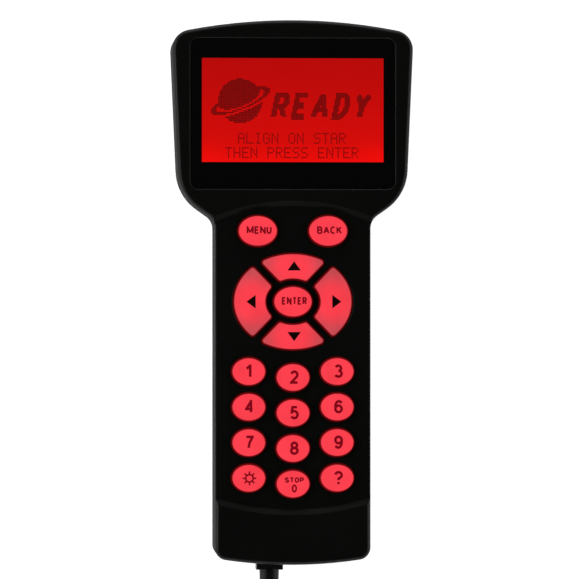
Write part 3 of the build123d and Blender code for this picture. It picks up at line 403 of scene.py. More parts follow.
def make_dust():
    """Soft flecks on surfaces that face up."""
    inputs = [("Amount", "NodeSocketFloat", 0.3), ("Size", "NodeSocketFloat", 900.0)]
    tree, source, result = new_group("Dust", inputs, [("Mask", "NodeSocketFloat")])
    flecks = fill(add(tree, "ShaderNodeTexNoise"), Detail=5.0, Roughness=0.75)
    link(tree, own_place(tree), flecks.inputs["Vector"])
    link(tree, source.outputs["Size"], flecks.inputs["Scale"])
    above = maths(tree, "SUBTRACT", flecks.outputs["Fac"], FLECK_LEVEL)
    sharp = maths(tree, "MULTIPLY", above, FLECK_SHARPNESS, clamp=True)
    up = maths(tree, "MULTIPLY", upward(tree), 1.0, clamp=True)
    mask = maths(tree, "MULTIPLY", maths(tree, "MULTIPLY", sharp, up), source.outputs["Amount"])
    link(tree, mask, result.inputs["Mask"])
    return tree


GRAIN, EDGE, DUST = make_grain(), make_edge(), make_dust()


def place_group(tree, group, **values):
    """Puts a shared group in a material, with its own values."""
    return fill(add(tree, "ShaderNodeGroup", node_tree=group), **values)


print("shared effects:", [group.name for group in (GRAIN, EDGE, DUST)])


# %% [markdown]
# ## Moulded finishes
# Most pieces are moulded plastic or rubber. One function builds such a finish: a base tone with
# slow patches, a lighter tone at corners, fine grain as bump and in the gloss, and a little dust.
# The lighter corner tone stands for rubbing, and on the casing it is also a painted highlight:
# thin light lines along its edges, as if they caught the lamps. Each real finish then only
# differs in its values. The casing's upright walls come out of the mould rougher than its face,
# which "flank" adds.


# %% Small material helpers
def rgba(red, green, blue):
    return (red, green, blue, 1.0)


def blank_material(name):
    """A material with only its main shader."""
    material = bpy.data.materials.new(name)
    material.use_nodes = True
    tree = material.node_tree
    return material, tree, tree.nodes["Principled BSDF"]


def bump(tree, height, shader, strength, distance, rounded=None):
    """Feeds a height to the shader's normal, on softly rounded corners if those are given."""
    node = fill(add(tree, "ShaderNodeBump"), Strength=strength, Distance=distance)
    link(tree, height, node.inputs["Height"])
    if rounded:
        link(tree, rounded, node.inputs["Normal"])
    link(tree, node.outputs["Normal"], shader.inputs["Normal"])


# %% The moulded finish
EDGE_WIDTH = 0.4 * MM
TONE_SPREAD = 0.22
# How much slow patches vary the lighter corner tone: rubbing, and on the casing a painted edge
# highlight.
RUB_AND_HIGHLIGHT_SPREAD = 1.6
GLOSS_SPREAD = 0.16
DUST_TONE = (0.32, 0.31, 0.29)
DUST_ROUGH = 0.3
WALL_RANGE = (0.15, 0.5)


def moulded(name, tone, rub_and_highlight_tone, rough, grain=2500, depth=0.02 * MM, rub_and_highlight=0.5, dust=0.2,
            strength=0.5, patch=60, metal=0.0, specular=0.5, flank=0.0):
    """A moulded plastic, rubber, lacquer or plated finish, lighter at corners for rubbing and
    painted edge highlights.
    """
    material, tree, shader = blank_material(name)
    grains = place_group(tree, GRAIN, Size=grain, Patch_Size=patch)
    edges = place_group(tree, EDGE, Width=EDGE_WIDTH)
    flecks = place_group(tree, DUST, Amount=dust)
    patches = grains.outputs["Patches"]
    tones = [rgba(*[channel * k for channel in tone]) for k in (1 - TONE_SPREAD, 1 + TONE_SPREAD)]
    base = mix_colour(tree, patches, *tones)
    # Lighter tone at corners: rubbing, and on the casing a painted highlight line along each
    # edge.
    rubbed_and_highlit = maths(tree, "MULTIPLY", edges.outputs["Mask"], rub_and_highlight)
    rubbed_and_highlit = maths(tree, "MULTIPLY", rubbed_and_highlit, maths(tree, "MULTIPLY", patches, RUB_AND_HIGHLIGHT_SPREAD), True)
    base = mix_colour(tree, rubbed_and_highlit, base, rgba(*rub_and_highlight_tone))
    base = mix_colour(tree, flecks.outputs["Mask"], base, rgba(*DUST_TONE))
    link(tree, base, shader.inputs["Base Color"])
    gloss = scaled(tree, patches, GLOSS_SPREAD, rough - GLOSS_SPREAD / 2)
    dulled = maths(tree, "MULTIPLY", flecks.outputs["Mask"], DUST_ROUGH)
    gloss = maths(tree, "ADD", gloss, dulled, True)
    if flank:
        level = maths(tree, "ABSOLUTE", upward(tree))
        gloss = maths(tree, "ADD", gloss, remap(tree, level, *WALL_RANGE, flank, 0.0), True)
    link(tree, gloss, shader.inputs["Roughness"])
    fill(shader, Metallic=metal, Specular_IOR_Level=specular)
    bump(tree, grains.outputs["Height"], shader, strength, depth, edges.outputs["Rounded"])
    return material


# %% Plastic, rubber and metal
# The casing's lighter corner tone is a painted highlight: thin light lines along its rims, ramp
# edges and key holes, where they would catch the lamps.
SHELL = moulded("shell_plastic", (0.0054, 0.0061, 0.0050), (0.026, 0.026, 0.024), 0.28,
                grain=2600, depth=0.03 * MM, rub_and_highlight=0.7, dust=0.02, strength=0.4, patch=45,
                specular=0.11, flank=0.5)
SOCKET = moulded("socket_plastic", (0.012, 0.012, 0.013), (0.06, 0.06, 0.06), 0.4, grain=3000)
PLUG = moulded("plug_black", (0.008, 0.008, 0.009), (0.05, 0.05, 0.05), 0.25, grain=2000,
               strength=0.15)
BOOT = moulded("boot_rubber", (0.004, 0.0042, 0.0044), (0.02, 0.02, 0.02), 0.5, grain=1800,
               depth=0.03 * MM, rub_and_highlight=0.4, dust=0.1, specular=0.2)
JACKET = moulded("lead_jacket", (0.011, 0.0115, 0.012), (0.05, 0.05, 0.05), 0.48, grain=900,
                 depth=0.06 * MM, rub_and_highlight=0.3, dust=0.25, strength=0.35)
MASK = moulded("mask_black", (0.004, 0.004, 0.004), (0.01, 0.01, 0.01), 0.35, grain=3000,
               rub_and_highlight=0.1, dust=0.0, strength=0.1)
STEEL = moulded("screw_steel", (0.42, 0.42, 0.43), (0.7, 0.7, 0.7), 0.34, grain=1500,
                dust=0.1, strength=0.4, metal=1.0)
CAN = moulded("can_metal", (0.55, 0.55, 0.54), (0.8, 0.8, 0.8), 0.28, grain=800,
              strength=0.2, metal=1.0)
GOLD = moulded("contact_gold", (0.80, 0.52, 0.18), (0.9, 0.7, 0.35), 0.25, grain=1500,
               depth=0.01 * MM, rub_and_highlight=0.4, dust=0.0, strength=0.2, metal=1.0)
BOARD = moulded("board_laminate", (0.01, 0.11, 0.035), (0.35, 0.33, 0.2), 0.35, grain=1400,
                rub_and_highlight=0.6, dust=0.1, strength=0.3)
CHIP = moulded("chip_epoxy", (0.02, 0.02, 0.021), (0.08, 0.08, 0.08), 0.55, grain=4000)
SLEEVE = moulded("sleeve_black", (0.014, 0.014, 0.022), (0.2, 0.2, 0.22), 0.3, grain=900,
                 strength=0.2)
WHITE = moulded("frame_white", (0.66, 0.66, 0.63), (0.8, 0.8, 0.78), 0.45, grain=1500)
RIBBON = moulded("ribbon_film", (0.38, 0.15, 0.02), (0.5, 0.25, 0.06), 0.3, grain=1200,
                 strength=0.15)
HOUSING = moulded("connector_plastic", (0.5, 0.45, 0.33), (0.7, 0.65, 0.5), 0.45, grain=2000)
LABEL = moulded("label_foil", (0.02, 0.02, 0.021), (0.25, 0.25, 0.25), 0.3, grain=1800,
                depth=0.01 * MM, rub_and_highlight=0.8, dust=0.15, strength=0.2, patch=25)
TIE = moulded("tie_fabric", (0.012, 0.012, 0.013), (0.05, 0.05, 0.05), 0.85, grain=1500,
              depth=0.2 * MM, rub_and_highlight=0.3, dust=0.3, strength=0.9)
print("moulded finishes:", len(bpy.data.materials))

# %% [markdown]
# ## Lit finishes
# The keys are soft translucent silicone with red lamps behind them, so they glow evenly on
# top and fade where the surface tips away from the lamps. Rather than light each key from
# inside, which is slow and noisy, the silicone gives out a little red light of its own. How
# much depends on which way the surface faces, with slow patches. The long arrow keys also fade
# away from the one lamp under the middle of each.


# %% Light under the arrow keys
ARROWS = ("key_up", "key_down", "key_left", "key_right")
LAMP_NEAR = 3.5 * MM
LAMP_FAR = 12 * MM


def arrow_lamps():
    """The places of the lamps under the four arrow keys."""
    places = []
    for name in ARROWS:
        low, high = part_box(name)
        places.append(((low.x + high.x) / 2, (low.y + high.y) / 2, high.z))
    return places


def lamp_fade(tree, top, far, lamps):
    """The colour over the nearest lamp, fading to another away from it."""
    nearest = None
    for lamp in lamps:
        reach = add(tree, "ShaderNodeVectorMath", operation="DISTANCE")
        link(tree, own_place(tree), reach.inputs[0])
        reach.inputs[1].default_value = lamp
        away = reach.outputs["Value"]
        nearest = maths(tree, "MINIMUM", nearest, away) if nearest else away
    return mix_colour(tree, remap(tree, nearest, LAMP_NEAR, LAMP_FAR), top, far)


# %% Glowing silicone
GLOW_SPREAD = 0.35
GLOW_START = 0.82
SILICONE_TONE = (0.10, 0.01, 0.012)
SILICONE_DUST = (0.3, 0.12, 0.12)
SILICONE_GLOSS = 0.14


def lit_silicone(name, top, side, glow, rough=0.36, fall=(0.25, 0.97), far=None):
    """Red silicone that glows most where it faces up, and near the arrows' lamps if it can."""
    material, tree, shader = blank_material(name)
    grains = place_group(tree, GRAIN, Size=3200, Patch_Size=170)
    flecks = place_group(tree, DUST, Amount=0.12, Size=700)
    lit = lamp_fade(tree, rgba(*top), rgba(*far), arrow_lamps()) if far else rgba(*top)
    colour = mix_colour(tree, remap(tree, upward(tree), *fall), rgba(*side), lit)
    glowing = add(tree, "ShaderNodeVectorMath", operation="SCALE")
    link(tree, colour, glowing.inputs[0])
    link(tree, scaled(tree, grains.outputs["Patches"], GLOW_SPREAD, GLOW_START),
         glowing.inputs["Scale"])
    link(tree, glowing.outputs[0], shader.inputs["Emission Color"])
    base = mix_colour(tree, flecks.outputs["Mask"], rgba(*SILICONE_TONE), rgba(*SILICONE_DUST))
    link(tree, base, shader.inputs["Base Color"])
    gloss = scaled(tree, grains.outputs["Patches"], SILICONE_GLOSS, rough - SILICONE_GLOSS / 2)
    link(tree, gloss, shader.inputs["Roughness"])
    fill(shader, Emission_Strength=glow, Specular_IOR_Level=0.12)
    bump(tree, grains.outputs["Height"], shader, 0.25, 0.02 * MM)
    return material


KEY_TOP = (0.97, 0.048, 0.072)
KEY_SIDE = (0.13, 0.0008, 0.002)
KEY_FALL = (0.7, 0.99)
KEY = lit_silicone("key_silicone", KEY_TOP, KEY_SIDE, 0.97, fall=KEY_FALL)
ARROW = lit_silicone("arrow_silicone", KEY_TOP, KEY_SIDE, 0.97, fall=KEY_FALL,
                     far=(0.52, 0.07, 0.085))
MAT = lit_silicone("mat_silicone", (0.22, 0.004, 0.006), (0.12, 0.002, 0.003), 0.5, 0.5)
print("arrow lamps:", len(arrow_lamps()))

# %% [markdown]
# ## Display finishes
# The display is a dot-matrix cell with a red light panel behind it. The lamps sit along the
# lower edge, so the red is strongest there and falls off upwards. The dots are darker red
# where the liquid crystal blocks the light. The window over it is clear acrylic.

# %% Display glow, dots and window
DISPLAY_STOPS = (
    (0.0, rgba(1.0, 0.0015, 0.0)),
    (0.2, rgba(0.74, 0.001, 0.0)),
    (0.7, rgba(0.58, 0.0005, 0.0)),
    (1.0, rgba(0.52, 0.0003, 0.0)),
)
PATCH_SHIFT = 0.22
DOT_SPREAD = 0.14
ACRYLIC_IOR = 1.49


def light_source(name):
    """A material that is black to the room and is seen by its own light."""
    material, tree, shader = blank_material(name)
    fill(shader, Emission_Strength=1.0, Base_Color=rgba(0.002, 0.0, 0.0), Specular_IOR_Level=0.1)
    return material, tree, shader


def display_glow():
    """A red field that brightens towards the lamps along its lower edge."""
    material, tree, shader = light_source("display_glass")
    low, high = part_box("display_cell")
    height = remap(tree, split(tree, own_place(tree))["Y"], low.y, high.y, kind="LINEAR")
    grains = place_group(tree, GRAIN, Size=1800, Patch_Size=45)
    wobble = scaled(tree, grains.outputs["Patches"], PATCH_SHIFT, -PATCH_SHIFT / 2)
    share = maths(tree, "ADD", height, wobble, clamp=True)
    link(tree, ramp(tree, share, DISPLAY_STOPS), shader.inputs["Emission Color"])
    link(tree, scaled(tree, grains.outputs["Height"], 0.08, 0.2), shader.inputs["Roughness"])
    return material


def dot_finish(name, glow):
    """A display dot that dims the light behind it."""
    material, tree, shader = light_source(name)
    grains = place_group(tree, GRAIN, Size=900, Patch_Size=80)
    tones = [rgba(*[c * k for c in glow]) for k in (1 - DOT_SPREAD, 1 + DOT_SPREAD)]
    link(tree, mix_colour(tree, grains.outputs["Patches"], *tones),
         shader.inputs["Emission Color"])
    fill(shader, Roughness=0.4)
    return material


def clear_plastic(name, tint, rough):
    """Clear acrylic or polycarbonate with the faintest scuffs."""
    material, tree, shader = blank_material(name)
    grains = place_group(tree, GRAIN, Size=700, Patch_Size=90)
    fill(shader, Base_Color=rgba(*tint), Transmission_Weight=1.0, IOR=ACRYLIC_IOR)
    link(tree, scaled(tree, grains.outputs["Patches"], 0.012, rough), shader.inputs["Roughness"])
    bump(tree, grains.outputs["Patches"], shader, 0.01, 0.1 * MM)
    return material


DISPLAY = display_glow()
BIG_DOTS = dot_finish("big_dots", (0.10, 0.0, 0.0))
SMALL_DOTS = dot_finish("small_dots", (0.24, 0.0, 0.0))
WINDOW = clear_plastic("window_clear", (0.96, 0.95, 0.95), 0.0)
LENS = clear_plastic("lens_clear", (0.95, 0.9, 0.9), 0.08)
PANEL = moulded("guide_acrylic", (0.7, 0.12, 0.08), (0.8, 0.3, 0.2), 0.2, grain=1500,
                strength=0.1)
LAMP = moulded("lamp_epoxy", (0.7, 0.06, 0.04), (0.8, 0.2, 0.15), 0.15, grain=1500,
               strength=0.05)
print("window and display finishes:", DISPLAY.name, WINDOW.name, LENS.name)

# %% [markdown]
# ## Ink
# The legends are printed in a dark ink that lets a little of the key's red light through. The
# arrows are printed thicker, so they are nearly black. Ink is thin and even, so it has no
# rubbed corners, no painted edge highlight and no dust.


# %% Ink
def ink(name, tone):
    """A thin even coat of print."""
    return moulded(name, tone, tone, 0.5, grain=3000, rub_and_highlight=0.0, dust=0.0, strength=0.2,
                   specular=0.1)


INK = ink("legend_ink", (0.012, 0.0004, 0.001))
fill(INK.node_tree.nodes["Principled BSDF"], Emission_Color=rgba(1, 0, 0.03),
     Emission_Strength=0.2)
ARROW_INK = ink("arrow_ink", (0.012, 0.0006, 0.0006))
print("inks:", INK.name, ARROW_INK.name)

# %% [markdown]
# ## Dressing the ready-made pieces
# The measured pieces keep their shapes and only get a finish each. A list of finishes, each
# with the pieces that wear it, is easier to read than a line for each piece.

# %% Finishes for the ready-made pieces
KEY_NAMES = sorted(name for name in nodes if name.startswith("key_") and name != "key_lamps")
FINISHES = (
    (SHELL, "front_shell", "back_shell"),
    (WINDOW, "display_window"),
    (MASK, "window_mask"),
    (DISPLAY, "display_cell"),
    (WHITE, "display_holder"),
    (PANEL, "light_panel"),
    (LAMP, "panel_lamps", "key_lamps", "reading_lamp"),
    (LENS, "reading_lamp_lens"),
    (RIBBON, "display_ribbon"),
    (HOUSING, "ribbon_connector"),
    (BOARD, "circuit_board"),
    (GOLD, "contact_pads", "lead_socket_contacts", "serial_socket_contacts",
     "near_plug_contacts", "far_plug_contacts"),
    (MAT, "keypad_mat"),
    (CHIP, "processor", "memory_chips"),
    (CAN, "clock_crystal", "coin_cell"),
    (SLEEVE, "capacitors", "buzzer"),
    (SOCKET, "cell_holder", "lead_socket", "serial_socket"),
    (LABEL, "rating_label"),
    (STEEL, "casing_screws", "board_screws"),
    (PLUG, "near_plug", "far_plug"),
    (BOOT, "near_boot", "far_boot"),
    (TIE, "coil_tie"),
    (ARROW, *ARROWS),
    (KEY, *[name for name in KEY_NAMES if name not in ARROWS]),
)
for finish, *names in FINISHES:
    for name in names:
        dress(nodes[name], finish)
print("dressed pieces:", sum(len(names) for finish, *names in FINISHES))

# %% [markdown]
# ## Key legends
# The legends are printed on the domed keytops in a plain bold letter. A ready font has its own
# idea of a 1 or an M, so the letters here are drawn as strokes, as a sign writer would. Each
# stroke is a line of points in a box one unit wide and high, and is widened into a ribbon with
# mitred corners. Digits with round parts use arcs.


# %% Strokes of the letters
ARC_STEP = 15


def arc(x, y, wide, tall, start, end):
    """Points on an ellipse's arc, from one angle to another."""
    steps = max(int(abs(end - start) / ARC_STEP), 2)
    angles = [math.radians(start + (end - start) * i / steps) for i in range(steps + 1)]
    return [(x + wide * math.cos(a), y + tall * math.sin(a)) for a in angles]


NINE_HOOK = [(1, 0.66)] + arc(0.45, 0.48, 0.55, 0.48, 0, -140)
STROKES = {
    "0": [arc(0.5, 0.5, 0.5, 0.5, 0, 360)],
    "1": [[(0.05, 0.74), (0.62, 1), (0.62, 0)]],
    "2": [arc(0.5, 0.71, 0.47, 0.29, 165, -35) + [(0, 0), (1, 0)]],
    "3": [arc(0.46, 0.76, 0.44, 0.24, 155, -90), arc(0.48, 0.27, 0.52, 0.27, 90, -155)],
    "4": [[(0.74, 0), (0.74, 1), (0, 0.3), (1, 0.3)]],
    "5": [[(0.92, 1), (0.2, 1)] + arc(0.48, 0.32, 0.52, 0.32, 140, -150)],
    "6": [arc(0.5, 0.3, 0.5, 0.3, 0, 360), [(1 - x, 1 - y) for x, y in NINE_HOOK]],
    "7": [[(0, 1), (1, 1), (0.55, 0.5), (0.35, 0)]],
    "8": [arc(0.5, 0.76, 0.42, 0.24, 0, 360), arc(0.5, 0.26, 0.5, 0.26, 0, 360)],
    "9": [arc(0.5, 0.7, 0.5, 0.3, 0, 360), NINE_HOOK],
    "?": [arc(0.5, 0.73, 0.5, 0.27, 170, -40) + [(0.5, 0.4), (0.5, 0.27)],
          [(0.5, 0.11), (0.5, -0.09)]],
    "A": [[(0, 0), (0.5, 1), (1, 0)], [(0.18, 0.34), (0.82, 0.34)]],
    "B": [[(0, 0), (0, 1), (0.6, 1)] + arc(0.6, 0.77, 0.33, 0.23, 75, -90) + [(0, 0.54)],
          arc(0.6, 0.27, 0.4, 0.27, 90, -90) + [(0, 0)]],
    "C": [arc(0.52, 0.5, 0.52, 0.5, 48, 312)],
    "D": [[(0, 0), (0, 1), (0.45, 1)] + arc(0.45, 0.5, 0.55, 0.5, 75, -90) + [(0, 0)]],
    "E": [[(1, 1), (0, 1), (0, 0), (1, 0)], [(0, 0.52), (0.85, 0.52)]],
    "K": [[(0, 0), (0, 1)], [(1, 1), (0.02, 0.38)], [(0.36, 0.6), (1, 0)]],
    "M": [[(0, 0), (0, 1), (0.5, 0.12), (1, 1), (1, 0)]],
    "N": [[(0, 0), (0, 1), (1, 0), (1, 1)]],
    "O": [arc(0.5, 0.5, 0.5, 0.5, 0, 360)],
    "P": [[(0, 0), (0, 1), (0.6, 1)] + arc(0.6, 0.73, 0.4, 0.27, 75, -90) + [(0, 0.46)]],
    "R": [[(0, 0), (0, 1), (0.6, 1)] + arc(0.6, 0.74, 0.38, 0.26, 75, -90) + [(0, 0.48)],
          [(0.5, 0.48), (1, 0)]],
    "S": [arc(0.5, 0.75, 0.47, 0.25, 20, 270) + arc(0.5, 0.25, 0.5, 0.25, 75, -160)],
    "T": [[(0, 1), (1, 1)], [(0.5, 1), (0.5, 0)]],
    "U": [[(0, 1)] + arc(0.5, 0.36, 0.5, 0.36, 180, 360) + [(1, 1)]],
    "Y": [[(0, 1), (0.5, 0.45), (1, 1)], [(0.5, 0.45), (0.5, 0)]],
}
LETTER_WIDTHS = {"M": 1.35, "N": 1.1, "A": 1.1, "E": 0.95}
print("drawn signs:", "".join(STROKES))

# %% [markdown]
# A mitre at a very sharp corner, as in an M or an N, would shoot far past it. Such a line is
# broken at the corner instead, and its upright and level runs reach on by half a stroke, so
# that the corner stays full.

# %% From strokes to flat letters
MITRE_LIMIT = 1.6
SHARP_TURN = -0.17
NEARLY_STRAIGHT = 0.3
QUITE_STRAIGHT = 0.01


def split_sharp(points, width):
    """Breaks a line at its sharp corners. Upright and level runs reach half a stroke on."""
    lines = [[Vector(points[0])]]
    for i in range(1, len(points) - 1):
        before, here, after = (Vector(point) for point in points[i - 1:i + 2])
        coming, going = (here - before).normalized(), (after - here).normalized()
        lines[-1].append(here)
        if coming.dot(going) < SHARP_TURN:
            lines.append([here.copy()])
            if min(abs(coming.x), abs(coming.y)) < NEARLY_STRAIGHT:
                lines[-2][-1] = here + coming * width / 2
            if min(abs(going.x), abs(going.y)) < QUITE_STRAIGHT:
                lines[-1][0] = here - going * width / 2
    lines[-1].append(Vector(points[-1]))
    return lines


def ribbon(points, width):
    """Corner places and faces of a flat ribbon along a line of points."""
    closed = (points[0] - points[-1]).length < width * 0.01
    line = points[:-1] if closed else points
    count = len(line)
    sides = []
    for i, here in enumerate(line):
        before = line[i - 1] if closed or i else None
        after = line[(i + 1) % count] if closed or i < count - 1 else None
        runs = []
        if before is not None:
            runs.append((here - before).normalized())
        if after is not None:
            runs.append((after - here).normalized())
        along = sum(runs, Vector((0, 0))).normalized()
        across = Vector((-along.y, along.x))
        reach = width / 2
        if len(runs) == 2:
            reach *= min(1 / max(along.dot(runs[0]), 0.01), MITRE_LIMIT)
        sides += [here + across * reach, here - across * reach]
    faces = []
    for i in range(count if closed else count - 1):
        j = (i + 1) % count
        faces.append((2 * i, 2 * i + 1, 2 * j + 1, 2 * j))
    return sides, faces


def lettering(name, words, height, width, stroke, gap=0.0, slant=0.0):
    """Flat bold letters, centred on the origin. The gap is between letters."""
    shares = [LETTER_WIDTHS.get(letter, 1.0) for letter in words]
    unit = (width - gap * (len(words) - 1)) / sum(shares)
    corners, faces = [], []
    for place, letter in enumerate(words):
        letter_width = unit * shares[place]
        left = unit * sum(shares[:place]) + gap * place + stroke / 2 - width / 2
        for line in STROKES[letter]:
            placed = []
            for x, y in line:
                across = left + x * (letter_width - stroke)
                up = (y - 0.5) * (height - stroke)
                placed.append((across + slant * up, up))
            for part in split_sharp(placed, stroke):
                sides, quads = ribbon(part, stroke)
                faces += [tuple(len(corners) + i for i in quad) for quad in quads]
                corners += [(side.x, side.y, 0) for side in sides]
    mesh = bpy.data.meshes.new(name)
    mesh.from_pydata(corners, [], faces)
    piece = bpy.data.objects.new(name, mesh)
    bpy.context.scene.collection.objects.link(piece)
    take(piece)
    bpy.ops.object.mode_set(mode="EDIT")
    bpy.ops.mesh.select_all(action="SELECT")
    bpy.ops.mesh.normals_make_consistent(inside=False)
    bpy.ops.object.mode_set(mode="OBJECT")
    return piece


# %% [markdown]
# A flat letter has to bend with the keytop. It is cut by a fine grid, dropped on the keytop
# along the vertical, and given the thickness of a coat of ink.

# %% Printing on a keytop
INK_THICKNESS = 0.012 * MM
CUT_SPACING = 0.7 * MM
DROP_HEIGHT = 5 * MM


def bounds_of(piece):
    """Lowest and highest corner of a mesh piece."""
    places = [piece.matrix_world @ vertex.co for vertex in piece.data.vertices]
    low = Vector([min(p[i] for p in places) for i in range(3)])
    high = Vector([max(p[i] for p in places) for i in range(3)])
    return low, high


def cut_by_grid(piece):
    """Cuts a flat mesh along lines in both directions, so that it can bend."""
    take(piece)
    low, high = bounds_of(piece)
    bpy.ops.object.mode_set(mode="EDIT")
    for axis, normal in ((0, (1, 0, 0)), (1, (0, 1, 0))):
        count = int((high[axis] - low[axis]) / CUT_SPACING)
        for i in range(1, count + 1):
            at = [0.0, 0.0, 0.0]
            at[axis] = low[axis] + i * (high[axis] - low[axis]) / (count + 1)
            bpy.ops.mesh.select_all(action="SELECT")
            bpy.ops.mesh.bisect(plane_co=at, plane_no=normal)
    bpy.ops.object.mode_set(mode="OBJECT")
    return piece


def print_on(piece, key_name, x, y, finish):
    """Drops a flat legend on a keytop at a place, and gives it thickness."""
    cut_by_grid(piece)
    piece.location = (x, y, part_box(key_name)[1].z + DROP_HEIGHT)
    settle(piece)
    modifier(piece, "SHRINKWRAP", target=nodes[key_name], wrap_method="PROJECT",
             use_project_z=True, use_negative_direction=True, use_positive_direction=False,
             offset=INK_THICKNESS * 0.5)
    modifier(piece, "SOLIDIFY", thickness=INK_THICKNESS, offset=1.0)
    dress(piece, finish)
    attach(piece, key_name)
    return piece


def key_middle(name):
    """The middle of a key's outline."""
    low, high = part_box(name)
    return (low.x + high.x) / 2, (low.y + high.y) / 2


# %% [markdown]
# The oval keys carry words in small capitals, and the number keys carry one tall digit each.
# The zero key has a small word above its digit.

# %% Words and digits
RIGHT_SHIFT = 0.45 * MM
LEFT_SHIFT = 0.2 * MM
LEFT_COLUMN = -1 * MM
WORD_SIZE = (8.9 * MM, 2.75 * MM)
WORD_STROKE = 0.6 * MM
WORD_GAP = 0.24 * MM
WORD_RISE = 0.28 * MM
DIGIT_SIZE = (3.15 * MM, 4.8 * MM)
DIGIT_STROKE = 0.92 * MM
DIGIT_RISE = 0.15 * MM
STOP_SIZE = (6.9 * MM, 1.95 * MM)
STOP_STROKE = 0.5 * MM
STOP_GAP = 0.16 * MM
STOP_RISE = 1.45 * MM
ZERO_SIZE = (1.9 * MM, 2.9 * MM)
ZERO_STROKE = 0.6 * MM
ZERO_RISE = -1.55 * MM
legends = []


def legend(name, key_name, words, size, stroke, rise, gap=0.0):
    """A printed word or digit, a little right of its key's middle as the real ones are."""
    x, y = key_middle(key_name)
    shift = LEFT_SHIFT if len(words) == 1 and x < LEFT_COLUMN else RIGHT_SHIFT
    piece = lettering("legend_" + name, words, size[1], size[0], stroke, gap)
    legends.append(print_on(piece, key_name, x + shift, y + rise, INK))


for word in ("MENU", "BACK", "ENTER"):
    label = word.lower()
    legend(label, "key_" + label, word, WORD_SIZE, WORD_STROKE, WORD_RISE, WORD_GAP)
for digit in "123456789?":
    label = "help" if digit == "?" else digit
    legend(label, "key_" + label, digit, DIGIT_SIZE, DIGIT_STROKE, DIGIT_RISE)
legend("stop", "key_0", "STOP", STOP_SIZE, STOP_STROKE, STOP_RISE, STOP_GAP)
legend("0", "key_0", "0", ZERO_SIZE, ZERO_STROKE, ZERO_RISE)
print("words and digits:", len(legends))

# %% [markdown]
# The arrows are plain triangles. A circle primitive with three sides is one, and it is scaled
# to its base and height before it is turned.

# %% Arrows
ARROW_BASE = 4.8 * MM
ARROW_HEIGHT = 3.25 * MM


def flat_disc(name, sides, radius):
    """A flat filled polygon."""
    deselect_all()
    bpy.ops.mesh.primitive_circle_add(vertices=sides, radius=radius, fill_type="NGON")
    piece = bpy.context.object
    piece.name = name
    return piece


def arrow(name, turn):
    """A flat triangle pointing up, then turned."""
    piece = flat_disc(name, sides=3, radius=1.0)
    low, high = bounds_of(piece)
    piece.location = (0, -(low.y + high.y) / 2, 0)
    settle(piece)
    piece.scale = (ARROW_BASE / (high.x - low.x), ARROW_HEIGHT / (high.y - low.y), 1)
    settle(piece)
    piece.rotation_euler = (0, 0, math.radians(turn))
    return settle(piece)


pad_x, pad_y = key_middle("key_enter")
ARROW_PLACES = {
    "up": (0.4 * MM, 12.7 * MM, 0),
    "left": (-14.9 * MM, 0, 90),
    "down": (0.4 * MM, -12.4 * MM, 180),
    "right": (15.6 * MM, 0, 270),
}
for name, (dx, dy, turn) in ARROW_PLACES.items():
    piece = arrow("legend_" + name, turn)
    legends.append(print_on(piece, "key_" + name, pad_x + dx, pad_y + dy, ARROW_INK))

# %% [markdown]
# The lamp symbol starts as a disc. Its middle is inset and deleted, which leaves a ring, and
# eight thin planes are laid round it as rays and joined to it.

# %% Lamp symbol
SUN_SIDES = 40
SUN_RADIUS = 1.6 * MM
SUN_LINE = 0.56 * MM
RAY_COUNT = 8
RAY_REACH = (1.5 * MM, 2.45 * MM)


def sun_symbol():
    """A ring with eight rays."""
    ring = flat_disc("legend_light", SUN_SIDES, SUN_RADIUS)
    bpy.ops.object.mode_set(mode="EDIT")
    bpy.ops.mesh.select_all(action="SELECT")
    bpy.ops.mesh.inset(thickness=SUN_LINE)
    bpy.ops.mesh.delete(type="FACE")
    bpy.ops.object.mode_set(mode="OBJECT")
    parts = [ring]
    inner, outer = RAY_REACH
    for i in range(RAY_COUNT):
        turn = 2 * math.pi * i / RAY_COUNT
        middle = (inner + outer) / 2
        deselect_all()
        bpy.ops.mesh.primitive_plane_add(size=1)
        ray = bpy.context.object
        ray.scale = (outer - inner, SUN_LINE, 1)
        ray.rotation_euler = (0, 0, turn)
        ray.location = (middle * math.cos(turn), middle * math.sin(turn), 0)
        parts.append(settle(ray))
    deselect_all()
    for part in parts:
        part.select_set(True)
    bpy.context.view_layer.objects.active = ring
    bpy.ops.object.join()
    return ring


x, y = key_middle("key_light")
legends.append(print_on(sun_symbol(), "key_light", x + LEFT_SHIFT, y, INK))
print("legends:", len(legends))

# %% [markdown]
# ## What the display shows
# A graphic display is a grid of small dots. A flat grid with one face for each dot is made
# first. The faces that stay unlit are deleted, and each face that is left is drawn in a little,
# which leaves the fine gaps between dots.

# %% Dot letters
LETTERS = {
    "A": ".###. #...# #...# ##### #...# #...# #...#",
    "E": "##### #.... #.... ####. #.... #.... #####",
    "G": ".###. #...# #.... #.### #...# #...# .###.",
    "H": "#...# #...# #...# ##### #...# #...# #...#",
    "I": ".###. ..#.. ..#.. ..#.. ..#.. ..#.. .###.",
    "L": "#.... #.... #.... #.... #.... #.... #####",
    "N": "#...# ##..# #.#.# #.#.# #..## #...# #...#",
    "O": ".###. #...# #...# #...# #...# #...# .###.",
    "P": "####. #...# #...# ####. #.... #.... #....",
    "R": "####. #...# #...# ####. #.#.. #..#. #...#",
    "S": ".#### #.... #.... .###. ....# ....# ####.",
    "T": "##### ..#.. ..#.. ..#.. ..#.. ..#.. ..#..",
    " ": "..... ..... ..... ..... ..... ..... .....",
}
LETTER_PITCH = 6
DOT_COLUMNS = 128
DOT_ROWS = 64
DOT_GAP = 0.035 * MM
DOT_THICKNESS = 0.02 * MM
VIEW_SIZE = (64.0 * MM, 36.4 * MM)
VIEW_MIDDLE_Y = 64.75 * MM
